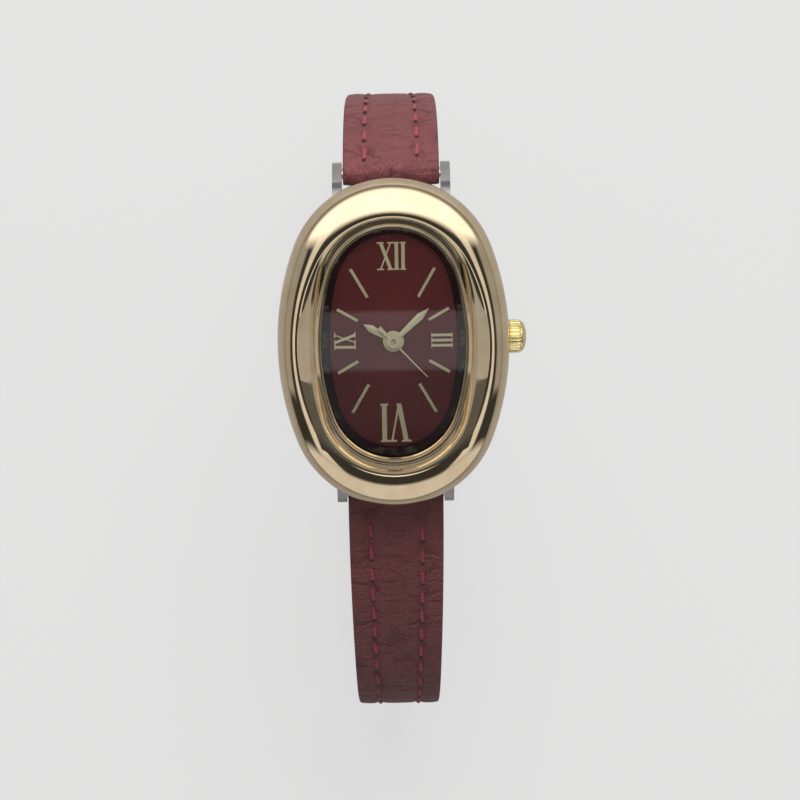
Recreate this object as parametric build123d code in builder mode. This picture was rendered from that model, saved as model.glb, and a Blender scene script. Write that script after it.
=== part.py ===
from build123d import *
import os
from math import asin, atan2, cos, degrees, pi, radians, sin

# A lady's oval quartz watch on a buckled leather strap, in millimetres.
# The origin is the centre of the case back's outer face. The dial faces +Z,
# 12 o'clock is +Y and the crown is on +X.

# Case outline: ovals of four arcs, each given by its half width, half height and end radius
bezel_half_width = 12.15
bezel_half_height = 17.4
bezel_end_radius = 11.0
crest_half_width = 10.1
crest_half_height = 13.75
crest_end_radius = 8.9
opening_half_width = 7.55
opening_half_height = 12.1
opening_end_radius = 6.7

# Heights above the case back's outer face
back_thickness = 0.7
movement_floor = 0.75
bridge_thickness = 0.3
movement_thickness = 2.5
plate_thickness = 0.65
dial_thickness = 0.4
bezel_under_depth = 1.6
bezel_dome_height = 2.8
lip_below_crest = 1.4
lip_height = 0.55
crystal_thickness = 0.8
hand_room = 1.25
lip_slope_share = 0.7

# Case middle and lugs
case_inset = 0.75
case_foot_inset = 1.4
case_wall = 1.6
collar_height = 0.8
collar_wall = 0.9
lug_gap = 10.4
lug_width = 1.0
lug_reach = 1.1
lug_drop = 1.5
lug_tip_radius = 0.5
bar_from_centre = 17.1
bar_below_back = 1.2
bar_radius = 0.6
bar_tip_radius = 0.35
bar_tip_length = 0.75

# Crown and stem
crown_radius = 1.75
crown_length = 1.3
crown_dome = 0.65
crown_dome_shares = ((0, 1), (0.45, 0.85), (0.8, 0.55), (1, 0))
crown_flutes = 27
flute_width = 0.2
crown_recess_radius = 1.25
crown_recess_depth = 0.9
crown_pull = 0.8
stem_radius = 0.45
stem_above_back = 1.9
stem_inner_end = 4.9
tube_radius = 1.15
tube_bore_radius = 0.7
tube_stand_off = 0.75
crown_seal_width = 0.15

# Dial furniture
rehaut_half_width = 6.7
rehaut_half_height = 11.3
rehaut_end_radius = 6.0
dial_margin = 1.15
baton_width = 0.33
baton_height = 0.14
short_baton_start = 4.3
short_baton_end = 6.8
long_baton_start = 5.35
long_baton_end = 8.85
upper_numeral_radius = 9.0
lower_numeral_radius = 8.75
side_numeral_radius = 5.1
upper_numeral_height = 2.95
lower_numeral_height = 4.1
side_numeral_height = 2.25
numeral_stem_share = 0.125
numeral_thin_share = 0.05
numeral_gap = 0.1
quarter_angle = 90.0
numeral_thickness = 0.12

# Hands, as on the dial at eight minutes past ten
hand_thickness = 0.14
hand_gap = 0.16
hour_hand_length = 3.65
minute_hand_length = 5.15
seconds_hand_length = 5.15
seconds_tail_length = 2.15
blade_width = 0.78
blade_shoulder_share = 0.75
needle_width = 0.2
tail_width = 0.42
hour_hub_radius = 1.1
minute_hub_radius = 0.84
seconds_hub_radius = 0.66
hour_hand_angle = 300.4
minute_hand_angle = 47.0
seconds_hand_angle = 136.7

# Movement
movement_half_width = 6.9
movement_half_height = 8.9
movement_corner = 3.0
battery_radius = 3.4
battery_thickness = 1.65
battery_x = -3.3
battery_y = -4.9
seconds_arbor_radius = 0.15
cannon_bore = 0.2
cannon_radius = 0.42
hour_pipe_bore = 0.47
hour_pipe_radius = 0.68
wheel_thickness = 0.15
tooth_depth = 0.12
tooth_pitch = 0.45
least_teeth = 6
wheel_gap = 0.15
pinion_radius = 0.3
rotor_pinion_radius = 0.2
seconds_wheel_radius = 1.6
centre_wheel_radius = 1.4
intermediate_wheel_radius = 1.3
third_wheel_radius = centre_wheel_radius
minute_pinion_radius = 0.35
minute_wheel_radius = 1.2
arbor_radius = 0.12
rotor_radius = 0.6
rotor_height = 0.6
intermediate_angle = -30.0
rotor_angle = -62.0
third_angle = 118.0
minute_wheel_angle = 40.0
stator_thickness = 0.35
coil_radius = 0.72
coil_core_radius = 0.3
coil_length = 4.6
coil_x = 5.4
coil_y = -4.6
screw_head_radius = 0.55
screw_radius = 0.3
screw_head_height = 0.2
screw_inset = 1.3
slot_width = 0.16
board_thickness = 0.2
resonator_radius = 0.4
resonator_length = 4.2
clamp_thickness = 0.18

# Strap
strap_width = 10.15
strap_buckle_width = 8.0
strap_lug_thickness = 2.6
strap_thickness = 2.0
tail_thickness = 1.8
stitch_from_edge = 2.15
pad_rise = 0.55
pad_flat_rise = 0.08
strap_edge_round = 0.35
upper_strap_steps = 18
lower_strap_steps = 24
upper_start_angle = 46.0
upper_first_radius = 20.0
upper_back_radius = 55.0
upper_back_lean = 20.0
upper_corner_radius = 9.0
upper_flat_length = 21.3
lower_start_angle = 12.0
lower_first_radius = 50.0
lower_first_end_angle = 40.0
lower_corner_radius = 16.0
tail_slope = 9.0
tail_slope_length = 20.5
tail_ease_radius = 12.0
tail_flat_length = 19.0
tail_point_share = 0.8
strap_hole_radius = 0.75
strap_hole_pitch = 6.0
strap_holes_before = 3
strap_holes_after = 1

# Buckle and keepers
buckle_bar_radius = 0.5
buckle_reach = 7.6
buckle_wire = 1.6
buckle_side_wire = 1.3
buckle_corner = 2.4
buckle_bevel = 0.35
tongue_width = 1.3
tongue_thickness = 0.8
keeper_length = 4.0
keeper_thickness = 0.8
keeper_corner = 0.9
fixed_keeper_gap = 1.6
free_keeper_from_tip = 4.7

# Clearances
fit = 0.05
running_fit = 0.05
soft_gap = 0.25
cut_overrun = 1.0

# Heights that follow
movement_top = movement_floor + movement_thickness
dial_bottom = movement_top + fit
dial_top = dial_bottom + dial_thickness
crystal_bottom = dial_top + hand_room
crystal_top = crystal_bottom + crystal_thickness
lip_top = crystal_top + lip_height
crest_height = lip_top + lip_below_crest
widest_height = crest_height - bezel_dome_height
bezel_bottom = widest_height - bezel_under_depth
plate_bottom = movement_top - plate_thickness
bridge_bottom = movement_floor + clamp_thickness
bridge_top = bridge_bottom + bridge_thickness
bar_height = -bar_below_back
case_side = bezel_half_width - case_inset

# Ovals that follow
bezel_outline = (bezel_half_width, bezel_half_height, bezel_end_radius)
crest_outline = (crest_half_width, crest_half_height, crest_end_radius)
opening_outline = (opening_half_width, opening_half_height, opening_end_radius)
rehaut_outline = (rehaut_half_width, rehaut_half_height, rehaut_end_radius)


def grown(outline, distance):
    """The oval parallel to this one, further out by the distance."""
    half_width, half_height, end_radius = outline
    return (half_width + distance, half_height + distance, end_radius + distance)


def between(outer, inner, share):
    """The oval at a share of the way from one to another."""
    return tuple(a + (b - a) * share for a, b in zip(outer, inner))


def oval(outline):
    """A face bounded by four tangent arcs."""
    half_width, half_height, end_radius = outline
    rise = half_height - end_radius
    side_radius = (half_width**2 + rise**2 - end_radius**2) / (2 * (half_width - end_radius))
    reach = end_radius / (side_radius - end_radius)
    join_x = (side_radius - half_width) * reach
    join_y = rise + rise * reach
    with BuildSketch() as face:
        with BuildLine():
            ThreePointArc((join_x, -join_y), (half_width, 0), (join_x, join_y))
            ThreePointArc((join_x, join_y), (0, half_height), (-join_x, join_y))
            ThreePointArc((-join_x, join_y), (-half_width, 0), (-join_x, -join_y))
            ThreePointArc((-join_x, -join_y), (0, -half_height), (join_x, -join_y))
        make_face()
    return face.sketch


dial_outline = grown(rehaut_outline, dial_margin)
crystal_outline = grown(opening_outline, dial_margin / 2)
gasket_outline = grown(crystal_outline, case_wall / 4)
cavity_outline = grown(dial_outline, 2 * fit)
collar_outline = grown(gasket_outline, collar_wall)
back_outline = grown(cavity_outline, case_wall - 2 * fit)


def finish(builder, label):
    """Labels a finished piece and writes it."""
    builder.part.label = label
    export_step(builder.part, "parts/" + label + ".step")


os.makedirs("parts", exist_ok=True)

# Bezel: turns down its outer side, turns up its dome, and steps down to the lip
under_turns = (90, 60, 30)
dome_turns = (0, 18, 36, 54, 72, 90)
inner_shares = (0.35, 0.7, 1)
inner_curve = 1.3


def bezel_sections():
    """Heights and ovals from the underside over the crest to the inner lip."""
    sections = []
    for turn in under_turns:
        inset = case_inset * (1 - cos(radians(turn)))
        height = widest_height - bezel_under_depth * sin(radians(turn))
        sections.append((height, grown(bezel_outline, -inset)))
    inner = grown(opening_outline, lip_height)
    for turn in dome_turns:
        share = 1 - cos(radians(turn))
        height = widest_height + bezel_dome_height * sin(radians(turn))
        sections.append((height, between(bezel_outline, crest_outline, share)))
    for share in inner_shares:
        height = crest_height - lip_below_crest * share**inner_curve
        sections.append((height, between(crest_outline, inner, share)))
    return sections


def make_bezel():
    """A domed ring, snapped over the case's collar, with a thin lip round the glass."""
    with BuildPart() as bezel:
        for height, outline in bezel_sections():
            with BuildSketch(Plane.XY.offset(height)):
                add(oval(outline))
        loft(ruled=True)
        # the thin sloping lip round the glass
        with BuildSketch(Plane.XY.offset(crystal_top)):
            add(oval(opening_outline))
        with BuildSketch(Plane.XY.offset(lip_top)):
            add(oval(grown(opening_outline, lip_height * lip_slope_share)))
        loft(mode=Mode.SUBTRACT)
        with BuildSketch(Plane.XY.offset(bezel_bottom - cut_overrun)):
            add(oval(gasket_outline))
        extrude(amount=crystal_top - bezel_bottom + cut_overrun, mode=Mode.SUBTRACT)
        # the recess that snaps over the case's collar
        with BuildSketch(Plane.XY.offset(bezel_bottom - cut_overrun)):
            add(oval(grown(collar_outline, fit)))
        extrude(amount=collar_height + fit + cut_overrun, mode=Mode.SUBTRACT)
    finish(bezel, "bezel")


def make_case_middle():
    """Steel middle with its cavity, collar and four lugs that turn down to the strap bars."""
    top_outline = grown(bezel_outline, -case_inset)
    foot_outline = grown(bezel_outline, -case_foot_inset)
    scoop_radius = strap_lug_thickness / 2 + pad_rise + soft_gap
    with BuildPart() as case_middle:
        with BuildSketch(Plane.XY.offset(back_thickness)):
            add(oval(foot_outline))
        with BuildSketch(Plane.XY.offset(bezel_bottom)):
            add(oval(top_outline))
        loft()
        with BuildSketch(Plane.XY.offset(bezel_bottom)):
            add(oval(collar_outline))
        extrude(amount=collar_height)
        # hollows for the strap ends
        for end in (1, -1):
            with BuildSketch(Plane.YZ.offset(-lug_gap / 2)):
                with BuildLine():
                    inner = end * (bar_from_centre - scoop_radius)
                    outer = end * (bezel_half_height + cut_overrun)
                    Polyline((inner, bar_height), (inner, -cut_overrun), (outer, -cut_overrun),
                             (outer, bar_height + scoop_radius),
                             (end * bar_from_centre, bar_height + scoop_radius))
                    RadiusArc((end * bar_from_centre, bar_height + scoop_radius), (inner, bar_height),
                              -end * scoop_radius)
                make_face()
            extrude(amount=lug_gap, mode=Mode.SUBTRACT)
        # lugs
        for side in (-1, 1):
            for end in (1, -1):
                start = side * lug_gap / 2 if side > 0 else side * lug_gap / 2 - lug_width
                with BuildSketch(Plane.YZ.offset(start)):
                    add(lug_profile(end))
                extrude(amount=lug_width)
        with BuildSketch(Plane.XY.offset(-lug_drop - bar_below_back - cut_overrun)):
            add(oval(cavity_outline))
        extrude(amount=bezel_bottom + collar_height + 2 * cut_overrun + lug_drop + bar_below_back,
                mode=Mode.SUBTRACT)
        # the seat of the case back
        with BuildSketch(Plane.XY.offset(-cut_overrun)):
            add(oval(grown(back_outline, fit)))
        extrude(amount=back_thickness + cut_overrun, mode=Mode.SUBTRACT)
        for end in (1, -1):
            with BuildSketch(Plane.YZ.offset(-lug_gap / 2 - bar_tip_length)):
                with Locations((end * bar_from_centre, bar_height)):
                    Circle(bar_tip_radius + fit)
            extrude(amount=lug_gap + 2 * bar_tip_length, mode=Mode.SUBTRACT)
        # the bore of the crown's tube
        with BuildSketch(Plane.YZ.offset(cavity_outline[0] - cut_overrun)):
            with Locations((0, stem_above_back)):
                Circle(tube_radius)
        extrude(amount=bezel_half_width, mode=Mode.SUBTRACT)
    finish(case_middle, "case_middle")


def lug_profile(end):
    """Side view of a lug, for the 12 o'clock end or, mirrored, the 6 o'clock end."""
    root_y = bar_from_centre - lug_drop - lug_reach
    top = bezel_bottom - fit
    tip_y = bar_from_centre + lug_reach
    tip_z = bar_height - lug_drop
    with BuildSketch() as profile:
        with BuildLine():
            Polyline((end * (tip_y - 2 * lug_tip_radius), tip_z), (end * root_y, back_thickness),
                     (end * root_y, top), (end * (root_y + lug_reach), top))
            RadiusArc((end * (root_y + lug_reach), top), (end * tip_y, bar_height),
                      end * 2 * (tip_y - root_y))
            Line((end * tip_y, bar_height), (end * tip_y, tip_z + lug_tip_radius))
            RadiusArc((end * tip_y, tip_z + lug_tip_radius),
                      (end * (tip_y - 2 * lug_tip_radius), tip_z), end * 2 * lug_tip_radius)
        make_face()
    return profile.sketch


def make_case_back():
    """Snap back with a flat outer face and a rim that holds its gasket."""
    rim_outline = grown(cavity_outline, -fit)
    with BuildPart() as case_back:
        with BuildSketch():
            add(oval(grown(back_outline, -back_thickness / 2)))
        with BuildSketch(Plane.XY.offset(back_thickness / 2)):
            add(oval(back_outline))
        loft()
        with BuildSketch(Plane.XY.offset(back_thickness / 2)):
            add(oval(back_outline))
        extrude(amount=back_thickness / 2 - fit)
    finish(case_back, "case_back")
    with BuildPart() as case_back_gasket:
        with BuildSketch(Plane.XY.offset(back_thickness - fit)):
            add(oval(grown(back_outline, -fit)))
            add(oval(rim_outline), mode=Mode.SUBTRACT)
        extrude(amount=fit)
    finish(case_back_gasket, "case_back_gasket")


def ring(bottom, top, outer, inner, label):
    """A flat oval ring between two heights."""
    with BuildPart() as piece:
        with BuildSketch(Plane.XY.offset(bottom)):
            add(oval(outer))
            add(oval(inner), mode=Mode.SUBTRACT)
        extrude(amount=top - bottom)
    finish(piece, label)


def make_glass():
    """Flat oval glass with a bevelled edge, and the gasket pressed round it."""
    with BuildPart() as crystal:
        with BuildSketch(Plane.XY.offset(crystal_bottom)):
            add(oval(crystal_outline))
        extrude(amount=crystal_thickness)
        chamfer(crystal.faces().sort_by(Axis.Z)[0].edges(), fit)
    finish(crystal, "crystal")
    ring(crystal_bottom, crystal_top, gasket_outline, crystal_outline, "crystal_gasket")


def make_rehaut():
    """The dark sloping ring between dial and glass."""
    flange_bottom = bezel_bottom + collar_height + fit
    with BuildPart() as rehaut_ring:
        with BuildSketch(Plane.XY.offset(dial_top)):
            add(oval(grown(cavity_outline, -fit)))
        extrude(amount=hand_room)
        with BuildSketch(Plane.XY.offset(flange_bottom)):
            add(oval(grown(gasket_outline, -fit)))
        extrude(amount=crystal_bottom - flange_bottom)
        with BuildSketch(Plane.XY.offset(dial_top)):
            add(oval(rehaut_outline))
        with BuildSketch(Plane.XY.offset(crystal_bottom)):
            add(oval(grown(opening_outline, -fit)))
        loft(mode=Mode.SUBTRACT)
    finish(rehaut_ring, "rehaut_ring")


def make_dial():
    """The dial, with a hole for the hour pipe."""
    with BuildPart() as dial:
        with BuildSketch(Plane.XY.offset(dial_bottom)):
            add(oval(grown(dial_outline, fit)))
            Circle(hour_pipe_radius + 2 * fit, mode=Mode.SUBTRACT)
        extrude(amount=dial_thickness)
    finish(dial, "dial")


def make_batons():
    """Eight applied batons, longer where the oval is longer."""
    with BuildPart() as hour_batons:
        for hour in (1, 2, 4, 5, 7, 8, 10, 11):
            long_one = hour % 6 in (1, 5)
            start = long_baton_start if long_one else short_baton_start
            end = long_baton_end if long_one else short_baton_end
            angle = radians(90 - 30 * hour)
            middle = (start + end) / 2
            with BuildSketch(Plane.XY.offset(dial_top)):
                with Locations((middle * cos(angle), middle * sin(angle))):
                    Rectangle(end - start, baton_width, rotation=degrees(angle))
            extrude(amount=baton_height)
        chamfer(hour_batons.faces().group_by(Axis.Z)[-1].edges(), baton_height / 2)
    finish(hour_batons, "hour_batons")


# Roman numerals: widths of the letters as shares of the numeral's height
letter_width_shares = {"I": 0.2, "X": 0.5, "V": 0.5}


def stroke(start, end, width):
    """A slanted stroke with level ends."""
    half = width / 2
    (x0, y0), (x1, y1) = start, end
    Polygon((x0 - half, y0), (x0 + half, y0), (x1 + half, y1), (x1 - half, y1), align=None)


def numeral(letters, height):
    """Seriffed capitals on one line, centred."""
    widths = [letter_width_shares[letter] * height for letter in letters]
    left = -(sum(widths) + numeral_gap * (len(letters) - 1)) / 2
    top = height / 2
    stem = numeral_stem_share * height
    thin = numeral_thin_share * height
    with BuildSketch() as glyphs:
        for letter, width in zip(letters, widths):
            middle = left + width / 2
            reach = (width - stem) / 2
            if letter == "I":
                stroke((middle, -top), (middle, top), stem)
                serifs = [(middle, top, width), (middle, -top, width)]
            elif letter == "X":
                stroke((middle - reach, top), (middle + reach, -top), stem)
                stroke((middle + reach, top), (middle - reach, -top), thin)
                serifs = [(middle + side * reach, end * top, 2 * stem)
                          for side in (-1, 1) for end in (-1, 1)]
            else:
                stroke((middle - reach, top), (middle, -top), stem)
                stroke((middle + reach, top), (middle, -top), thin)
                serifs = [(middle + side * reach, top, 2 * stem) for side in (-1, 1)]
            for x, y, length in serifs:
                inward = -thin / 2 if y > 0 else thin / 2
                with Locations((x, y + inward)):
                    Rectangle(length, thin)
            left += width + numeral_gap
    return glyphs.sketch


def make_numerals():
    """XII, III, VI and IX, all with their feet towards the centre."""
    places = (("XII", 0, upper_numeral_radius, upper_numeral_height),
              ("III", quarter_angle, side_numeral_radius, side_numeral_height),
              ("VI", 2 * quarter_angle, lower_numeral_radius, lower_numeral_height),
              ("IX", 3 * quarter_angle, side_numeral_radius, side_numeral_height))
    with BuildPart() as roman_numerals:
        for letters, clock_angle, distance, height in places:
            angle = radians(quarter_angle - clock_angle)
            with BuildSketch(Plane.XY.offset(dial_top)):
                with Locations(Location((distance * cos(angle), distance * sin(angle)), -clock_angle)):
                    add(numeral(letters, height))
            extrude(amount=numeral_thickness)
    finish(roman_numerals, "roman_numerals")


# Hand levels, each a thickness and a gap above the last
hour_hand_bottom = dial_top + hand_gap + baton_height
minute_hand_bottom = hour_hand_bottom + hand_thickness + hand_gap
seconds_hand_bottom = minute_hand_bottom + hand_thickness + hand_gap


def clock_plane(clock_angle, height):
    """A plane at a height whose x runs along the hand."""
    angle = radians(90 - clock_angle)
    return Plane(origin=(0, 0, height), x_dir=(cos(angle), sin(angle), 0), z_dir=(0, 0, 1))


def make_blade_hand(label, clock_angle, bottom, length, hub_radius, bore):
    """A leaf hand whose two facets meet in a ridge."""
    level = clock_plane(clock_angle, bottom)
    half = blade_width / 2
    shoulder = blade_shoulder_share * length
    with BuildPart() as hand:
        with BuildSketch(level):
            Polygon((0, -half / 2), (shoulder, -half), (length, 0), (shoulder, half), (0, half / 2),
                    align=None)
        extrude(amount=hand_thickness)
        ridge = Plane(origin=level.origin, x_dir=level.y_dir, z_dir=level.x_dir)
        with BuildSketch(ridge):
            Polygon((-half, 0), (half, 0), (half, hand_thickness / 2), (0, hand_thickness),
                    (-half, hand_thickness / 2), align=None)
        extrude(amount=length, mode=Mode.INTERSECT)
        with BuildSketch(level):
            Circle(hub_radius)
        extrude(amount=hand_thickness)
        with BuildSketch(level):
            Circle(bore)
        extrude(amount=hand_thickness, mode=Mode.SUBTRACT)
    finish(hand, label)


def make_seconds_hand():
    """A needle with a broader tail and a dimpled hub."""
    level = clock_plane(seconds_hand_angle, seconds_hand_bottom)
    with BuildPart() as seconds_hand:
        with BuildSketch(level):
            Polygon((0, -needle_width / 2), (seconds_hand_length, -needle_width / 4),
                    (seconds_hand_length, needle_width / 4), (0, needle_width / 2), align=None)
            Polygon((0, -needle_width / 2), (0, needle_width / 2), (-seconds_tail_length, tail_width / 2),
                    (-seconds_tail_length, -tail_width / 2), align=None)
            Circle(seconds_hub_radius)
        extrude(amount=hand_thickness)
        with Locations(level.offset(hand_thickness)):
            CounterSinkHole(seconds_arbor_radius, seconds_hub_radius / 2, depth=hand_thickness)
    finish(seconds_hand, "seconds_hand")


def make_rod(plane, radius, length, label):
    """A plain round pin."""
    with BuildPart() as rod:
        with BuildSketch(plane):
            Circle(radius)
        extrude(amount=length)
    finish(rod, label)


def make_crown():
    """Fluted crown with a domed end, the stem it turns, and the tube that it runs on."""
    inner_end = bezel_half_width - 2 * fit
    outer_end = inner_end + crown_length
    axis = Plane(origin=(inner_end, 0, stem_above_back), x_dir=(0, 1, 0), z_dir=(1, 0, 0))
    with BuildPart() as crown:
        with BuildSketch(axis):
            Circle(crown_radius)
            with PolarLocations(crown_radius, crown_flutes):
                Rectangle(flute_width, flute_width, rotation=45, mode=Mode.SUBTRACT)
        extrude(amount=crown_length)
        # the domed end, a little smaller than the flutes' tips
        with BuildSketch(Plane.XZ):
            with BuildLine():
                shoulder = crown_radius - flute_width / 2
                Polyline((outer_end, stem_above_back),
                         *[(outer_end + crown_dome * along, stem_above_back + shoulder * out)
                           for along, out in crown_dome_shares],
                         (outer_end, stem_above_back))
            make_face()
        revolve(axis=Axis((0, 0, stem_above_back), (1, 0, 0)))
        with BuildSketch(axis):
            Circle(crown_recess_radius)
        extrude(amount=crown_recess_depth, mode=Mode.SUBTRACT)
        with BuildSketch(axis):
            Circle(stem_radius)
        extrude(amount=crown_length, mode=Mode.SUBTRACT)
    finish(crown, "crown")
    stem_plane = Plane(origin=(stem_inner_end, 0, stem_above_back), x_dir=(0, 1, 0), z_dir=(1, 0, 0))
    make_rod(stem_plane, stem_radius, outer_end - stem_inner_end, "winding_stem")
    tube_start = cavity_outline[0] + 2 * fit
    tube_end = case_side + tube_stand_off + crown_pull / 4
    with BuildPart() as crown_tube:
        tube_plane = Plane(origin=(tube_start, 0, stem_above_back), x_dir=(0, 1, 0), z_dir=(1, 0, 0))
        with BuildSketch(tube_plane):
            Circle(tube_radius)
            Circle(tube_bore_radius, mode=Mode.SUBTRACT)
        extrude(amount=tube_end - tube_start)
    finish(crown_tube, "crown_tube")
    with BuildPart() as crown_gasket:
        seal_plane = Plane(origin=(case_side, 0, stem_above_back), x_dir=(0, 1, 0), z_dir=(1, 0, 0))
        with BuildSketch(seal_plane):
            Circle(stem_radius + fit + crown_seal_width)
            Circle(stem_radius + fit, mode=Mode.SUBTRACT)
        extrude(amount=crown_seal_width)
    finish(crown_gasket, "crown_gasket")


def movement_face(inset):
    """The movement's outline, a rectangle with round corners."""
    with BuildSketch() as face:
        RectangleRounded(2 * (movement_half_width - inset), 2 * (movement_half_height - inset),
                         movement_corner)
    return face.sketch


def polar(distance, angle):
    """A place at a distance and angle from the origin."""
    return (distance * cos(radians(angle)), distance * sin(radians(angle)))


# Where the wheels stand: each distance is the two radii that meet and the play
intermediate_place = polar(seconds_wheel_radius + pinion_radius + fit, intermediate_angle)
rotor_step = polar(intermediate_wheel_radius + rotor_pinion_radius + fit, rotor_angle)
rotor_place = (intermediate_place[0] + rotor_step[0], intermediate_place[1] + rotor_step[1])
third_place = polar(third_wheel_radius + pinion_radius + fit, third_angle)
minute_wheel_place = polar(minute_wheel_radius + cannon_radius + fit, minute_wheel_angle)
screw_places = [(screw_inset - movement_half_width, movement_half_height - screw_inset),
                (movement_half_width - screw_inset, movement_half_height - screw_inset),
                (screw_inset, screw_inset - movement_half_height)]

# Levels of the wheels, from the bridge up to the dial
seconds_level = bridge_top + wheel_gap
intermediate_level = seconds_level + wheel_thickness + wheel_gap
third_level = intermediate_level + wheel_thickness + wheel_gap
centre_level = third_level + wheel_thickness + wheel_gap
pocket_floor = plate_bottom + wheel_thickness
minute_wheel_level = pocket_floor + fit
hour_wheel_level = minute_wheel_level + wheel_thickness + fit
hour_wheel_radius = minute_wheel_radius + cannon_radius - minute_pinion_radius
coil_height = bridge_bottom + coil_radius + 2 * fit
stator_bottom = coil_height + coil_core_radius + fit


def toothed(radius):
    """A wheel's face with square-cut teeth."""
    count = max(least_teeth, round(2 * pi * radius / tooth_pitch))
    with BuildSketch() as face:
        Circle(radius)
        with PolarLocations(radius, count):
            Rectangle(2 * tooth_depth, pi * radius / count, mode=Mode.SUBTRACT)
    return face.sketch


def make_wheel(label, place, layers, arbor, bore=0):
    """Toothed layers, each (bottom, radius, thickness), on a round arbor (bottom, top, radius)."""
    arbor_bottom, arbor_top, radius = arbor
    with BuildPart() as wheel:
        for bottom, layer_radius, thickness in layers:
            with BuildSketch(Plane.XY.offset(bottom)):
                with Locations(place):
                    add(toothed(layer_radius))
            extrude(amount=thickness)
        with BuildSketch(Plane.XY.offset(arbor_bottom)):
            with Locations(place):
                Circle(radius)
        extrude(amount=arbor_top - arbor_bottom)
        if bore:
            with BuildSketch(Plane.XY.offset(arbor_bottom)):
                with Locations(place):
                    Circle(bore)
            extrude(amount=arbor_top - arbor_bottom, mode=Mode.SUBTRACT)
    finish(wheel, label)


def make_train():
    """The going train under the plate and the motion work under the dial."""
    step = wheel_thickness + wheel_gap
    make_wheel("seconds_wheel", (0, 0),
               [(seconds_level, seconds_wheel_radius, wheel_thickness),
                (third_level, pinion_radius, wheel_thickness)],
               (bridge_bottom, seconds_hand_bottom + hand_thickness / 2, seconds_arbor_radius))
    make_wheel("intermediate_wheel", intermediate_place,
               [(seconds_level, pinion_radius, step),
                (intermediate_level, intermediate_wheel_radius, wheel_thickness)],
               (bridge_bottom, plate_bottom + fit, arbor_radius))
    make_wheel("third_wheel", third_place,
               [(third_level, third_wheel_radius, wheel_thickness),
                (third_level + wheel_thickness, pinion_radius, step)],
               (bridge_bottom, pocket_floor - fit, arbor_radius))
    make_wheel("centre_wheel", (0, 0), [(centre_level, centre_wheel_radius, wheel_thickness)],
               (centre_level, minute_hand_bottom + hand_thickness, cannon_radius), cannon_bore)
    make_wheel("minute_wheel", minute_wheel_place,
               [(minute_wheel_level, minute_wheel_radius, wheel_thickness),
                (minute_wheel_level + wheel_thickness, minute_pinion_radius, wheel_thickness + fit)],
               (plate_bottom + fit, movement_top - fit, arbor_radius))
    make_wheel("hour_wheel", (0, 0), [(hour_wheel_level, hour_wheel_radius, wheel_thickness)],
               (hour_wheel_level, hour_hand_bottom + hand_thickness, hour_pipe_radius), hour_pipe_bore)


def make_motor():
    """Stepping motor: magnet rotor, stator and the copper coil on its core."""
    magnet_bottom = intermediate_level + wheel_thickness + fit
    with BuildPart() as rotor:
        with BuildSketch(Plane.XY.offset(bridge_bottom)):
            with Locations(rotor_place):
                Circle(arbor_radius)
        extrude(amount=plate_bottom + fit - bridge_bottom)
        with BuildSketch(Plane.XY.offset(intermediate_level)):
            with Locations(rotor_place):
                add(toothed(rotor_pinion_radius))
        extrude(amount=magnet_bottom - intermediate_level)
        with BuildSketch(Plane.XY.offset(magnet_bottom)):
            with Locations(rotor_place):
                Circle(rotor_radius)
        extrude(amount=rotor_height)
    finish(rotor, "rotor")

    arm = 2 * coil_core_radius
    reach = coil_length / 2 + 1.5 * arm
    with BuildPart() as stator:
        with BuildSketch(Plane.XY.offset(stator_bottom)):
            with Locations(rotor_place):
                Circle(rotor_radius + arm)
            for end in (1, -1):
                with BuildLine():
                    arm_y = coil_y + end * reach
                    Polyline(rotor_place, (rotor_place[0], arm_y), (coil_x, arm_y))
                trace(line_width=arm)
                with Locations((coil_x, arm_y)):
                    Circle(arm)
            with Locations(rotor_place):
                Circle(rotor_radius + 2 * fit, mode=Mode.SUBTRACT)
        extrude(amount=stator_thickness)
    finish(stator, "stator")

    with BuildPart() as motor_coil:
        for radius, length in ((coil_core_radius, coil_length + 5 * arm), (coil_radius, coil_length)):
            start = Plane(origin=(coil_x, coil_y - length / 2, coil_height), x_dir=(1, 0, 0),
                          z_dir=(0, 1, 0))
            with BuildSketch(start):
                Circle(radius)
            extrude(amount=length)
    finish(motor_coil, "motor_coil")


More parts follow.
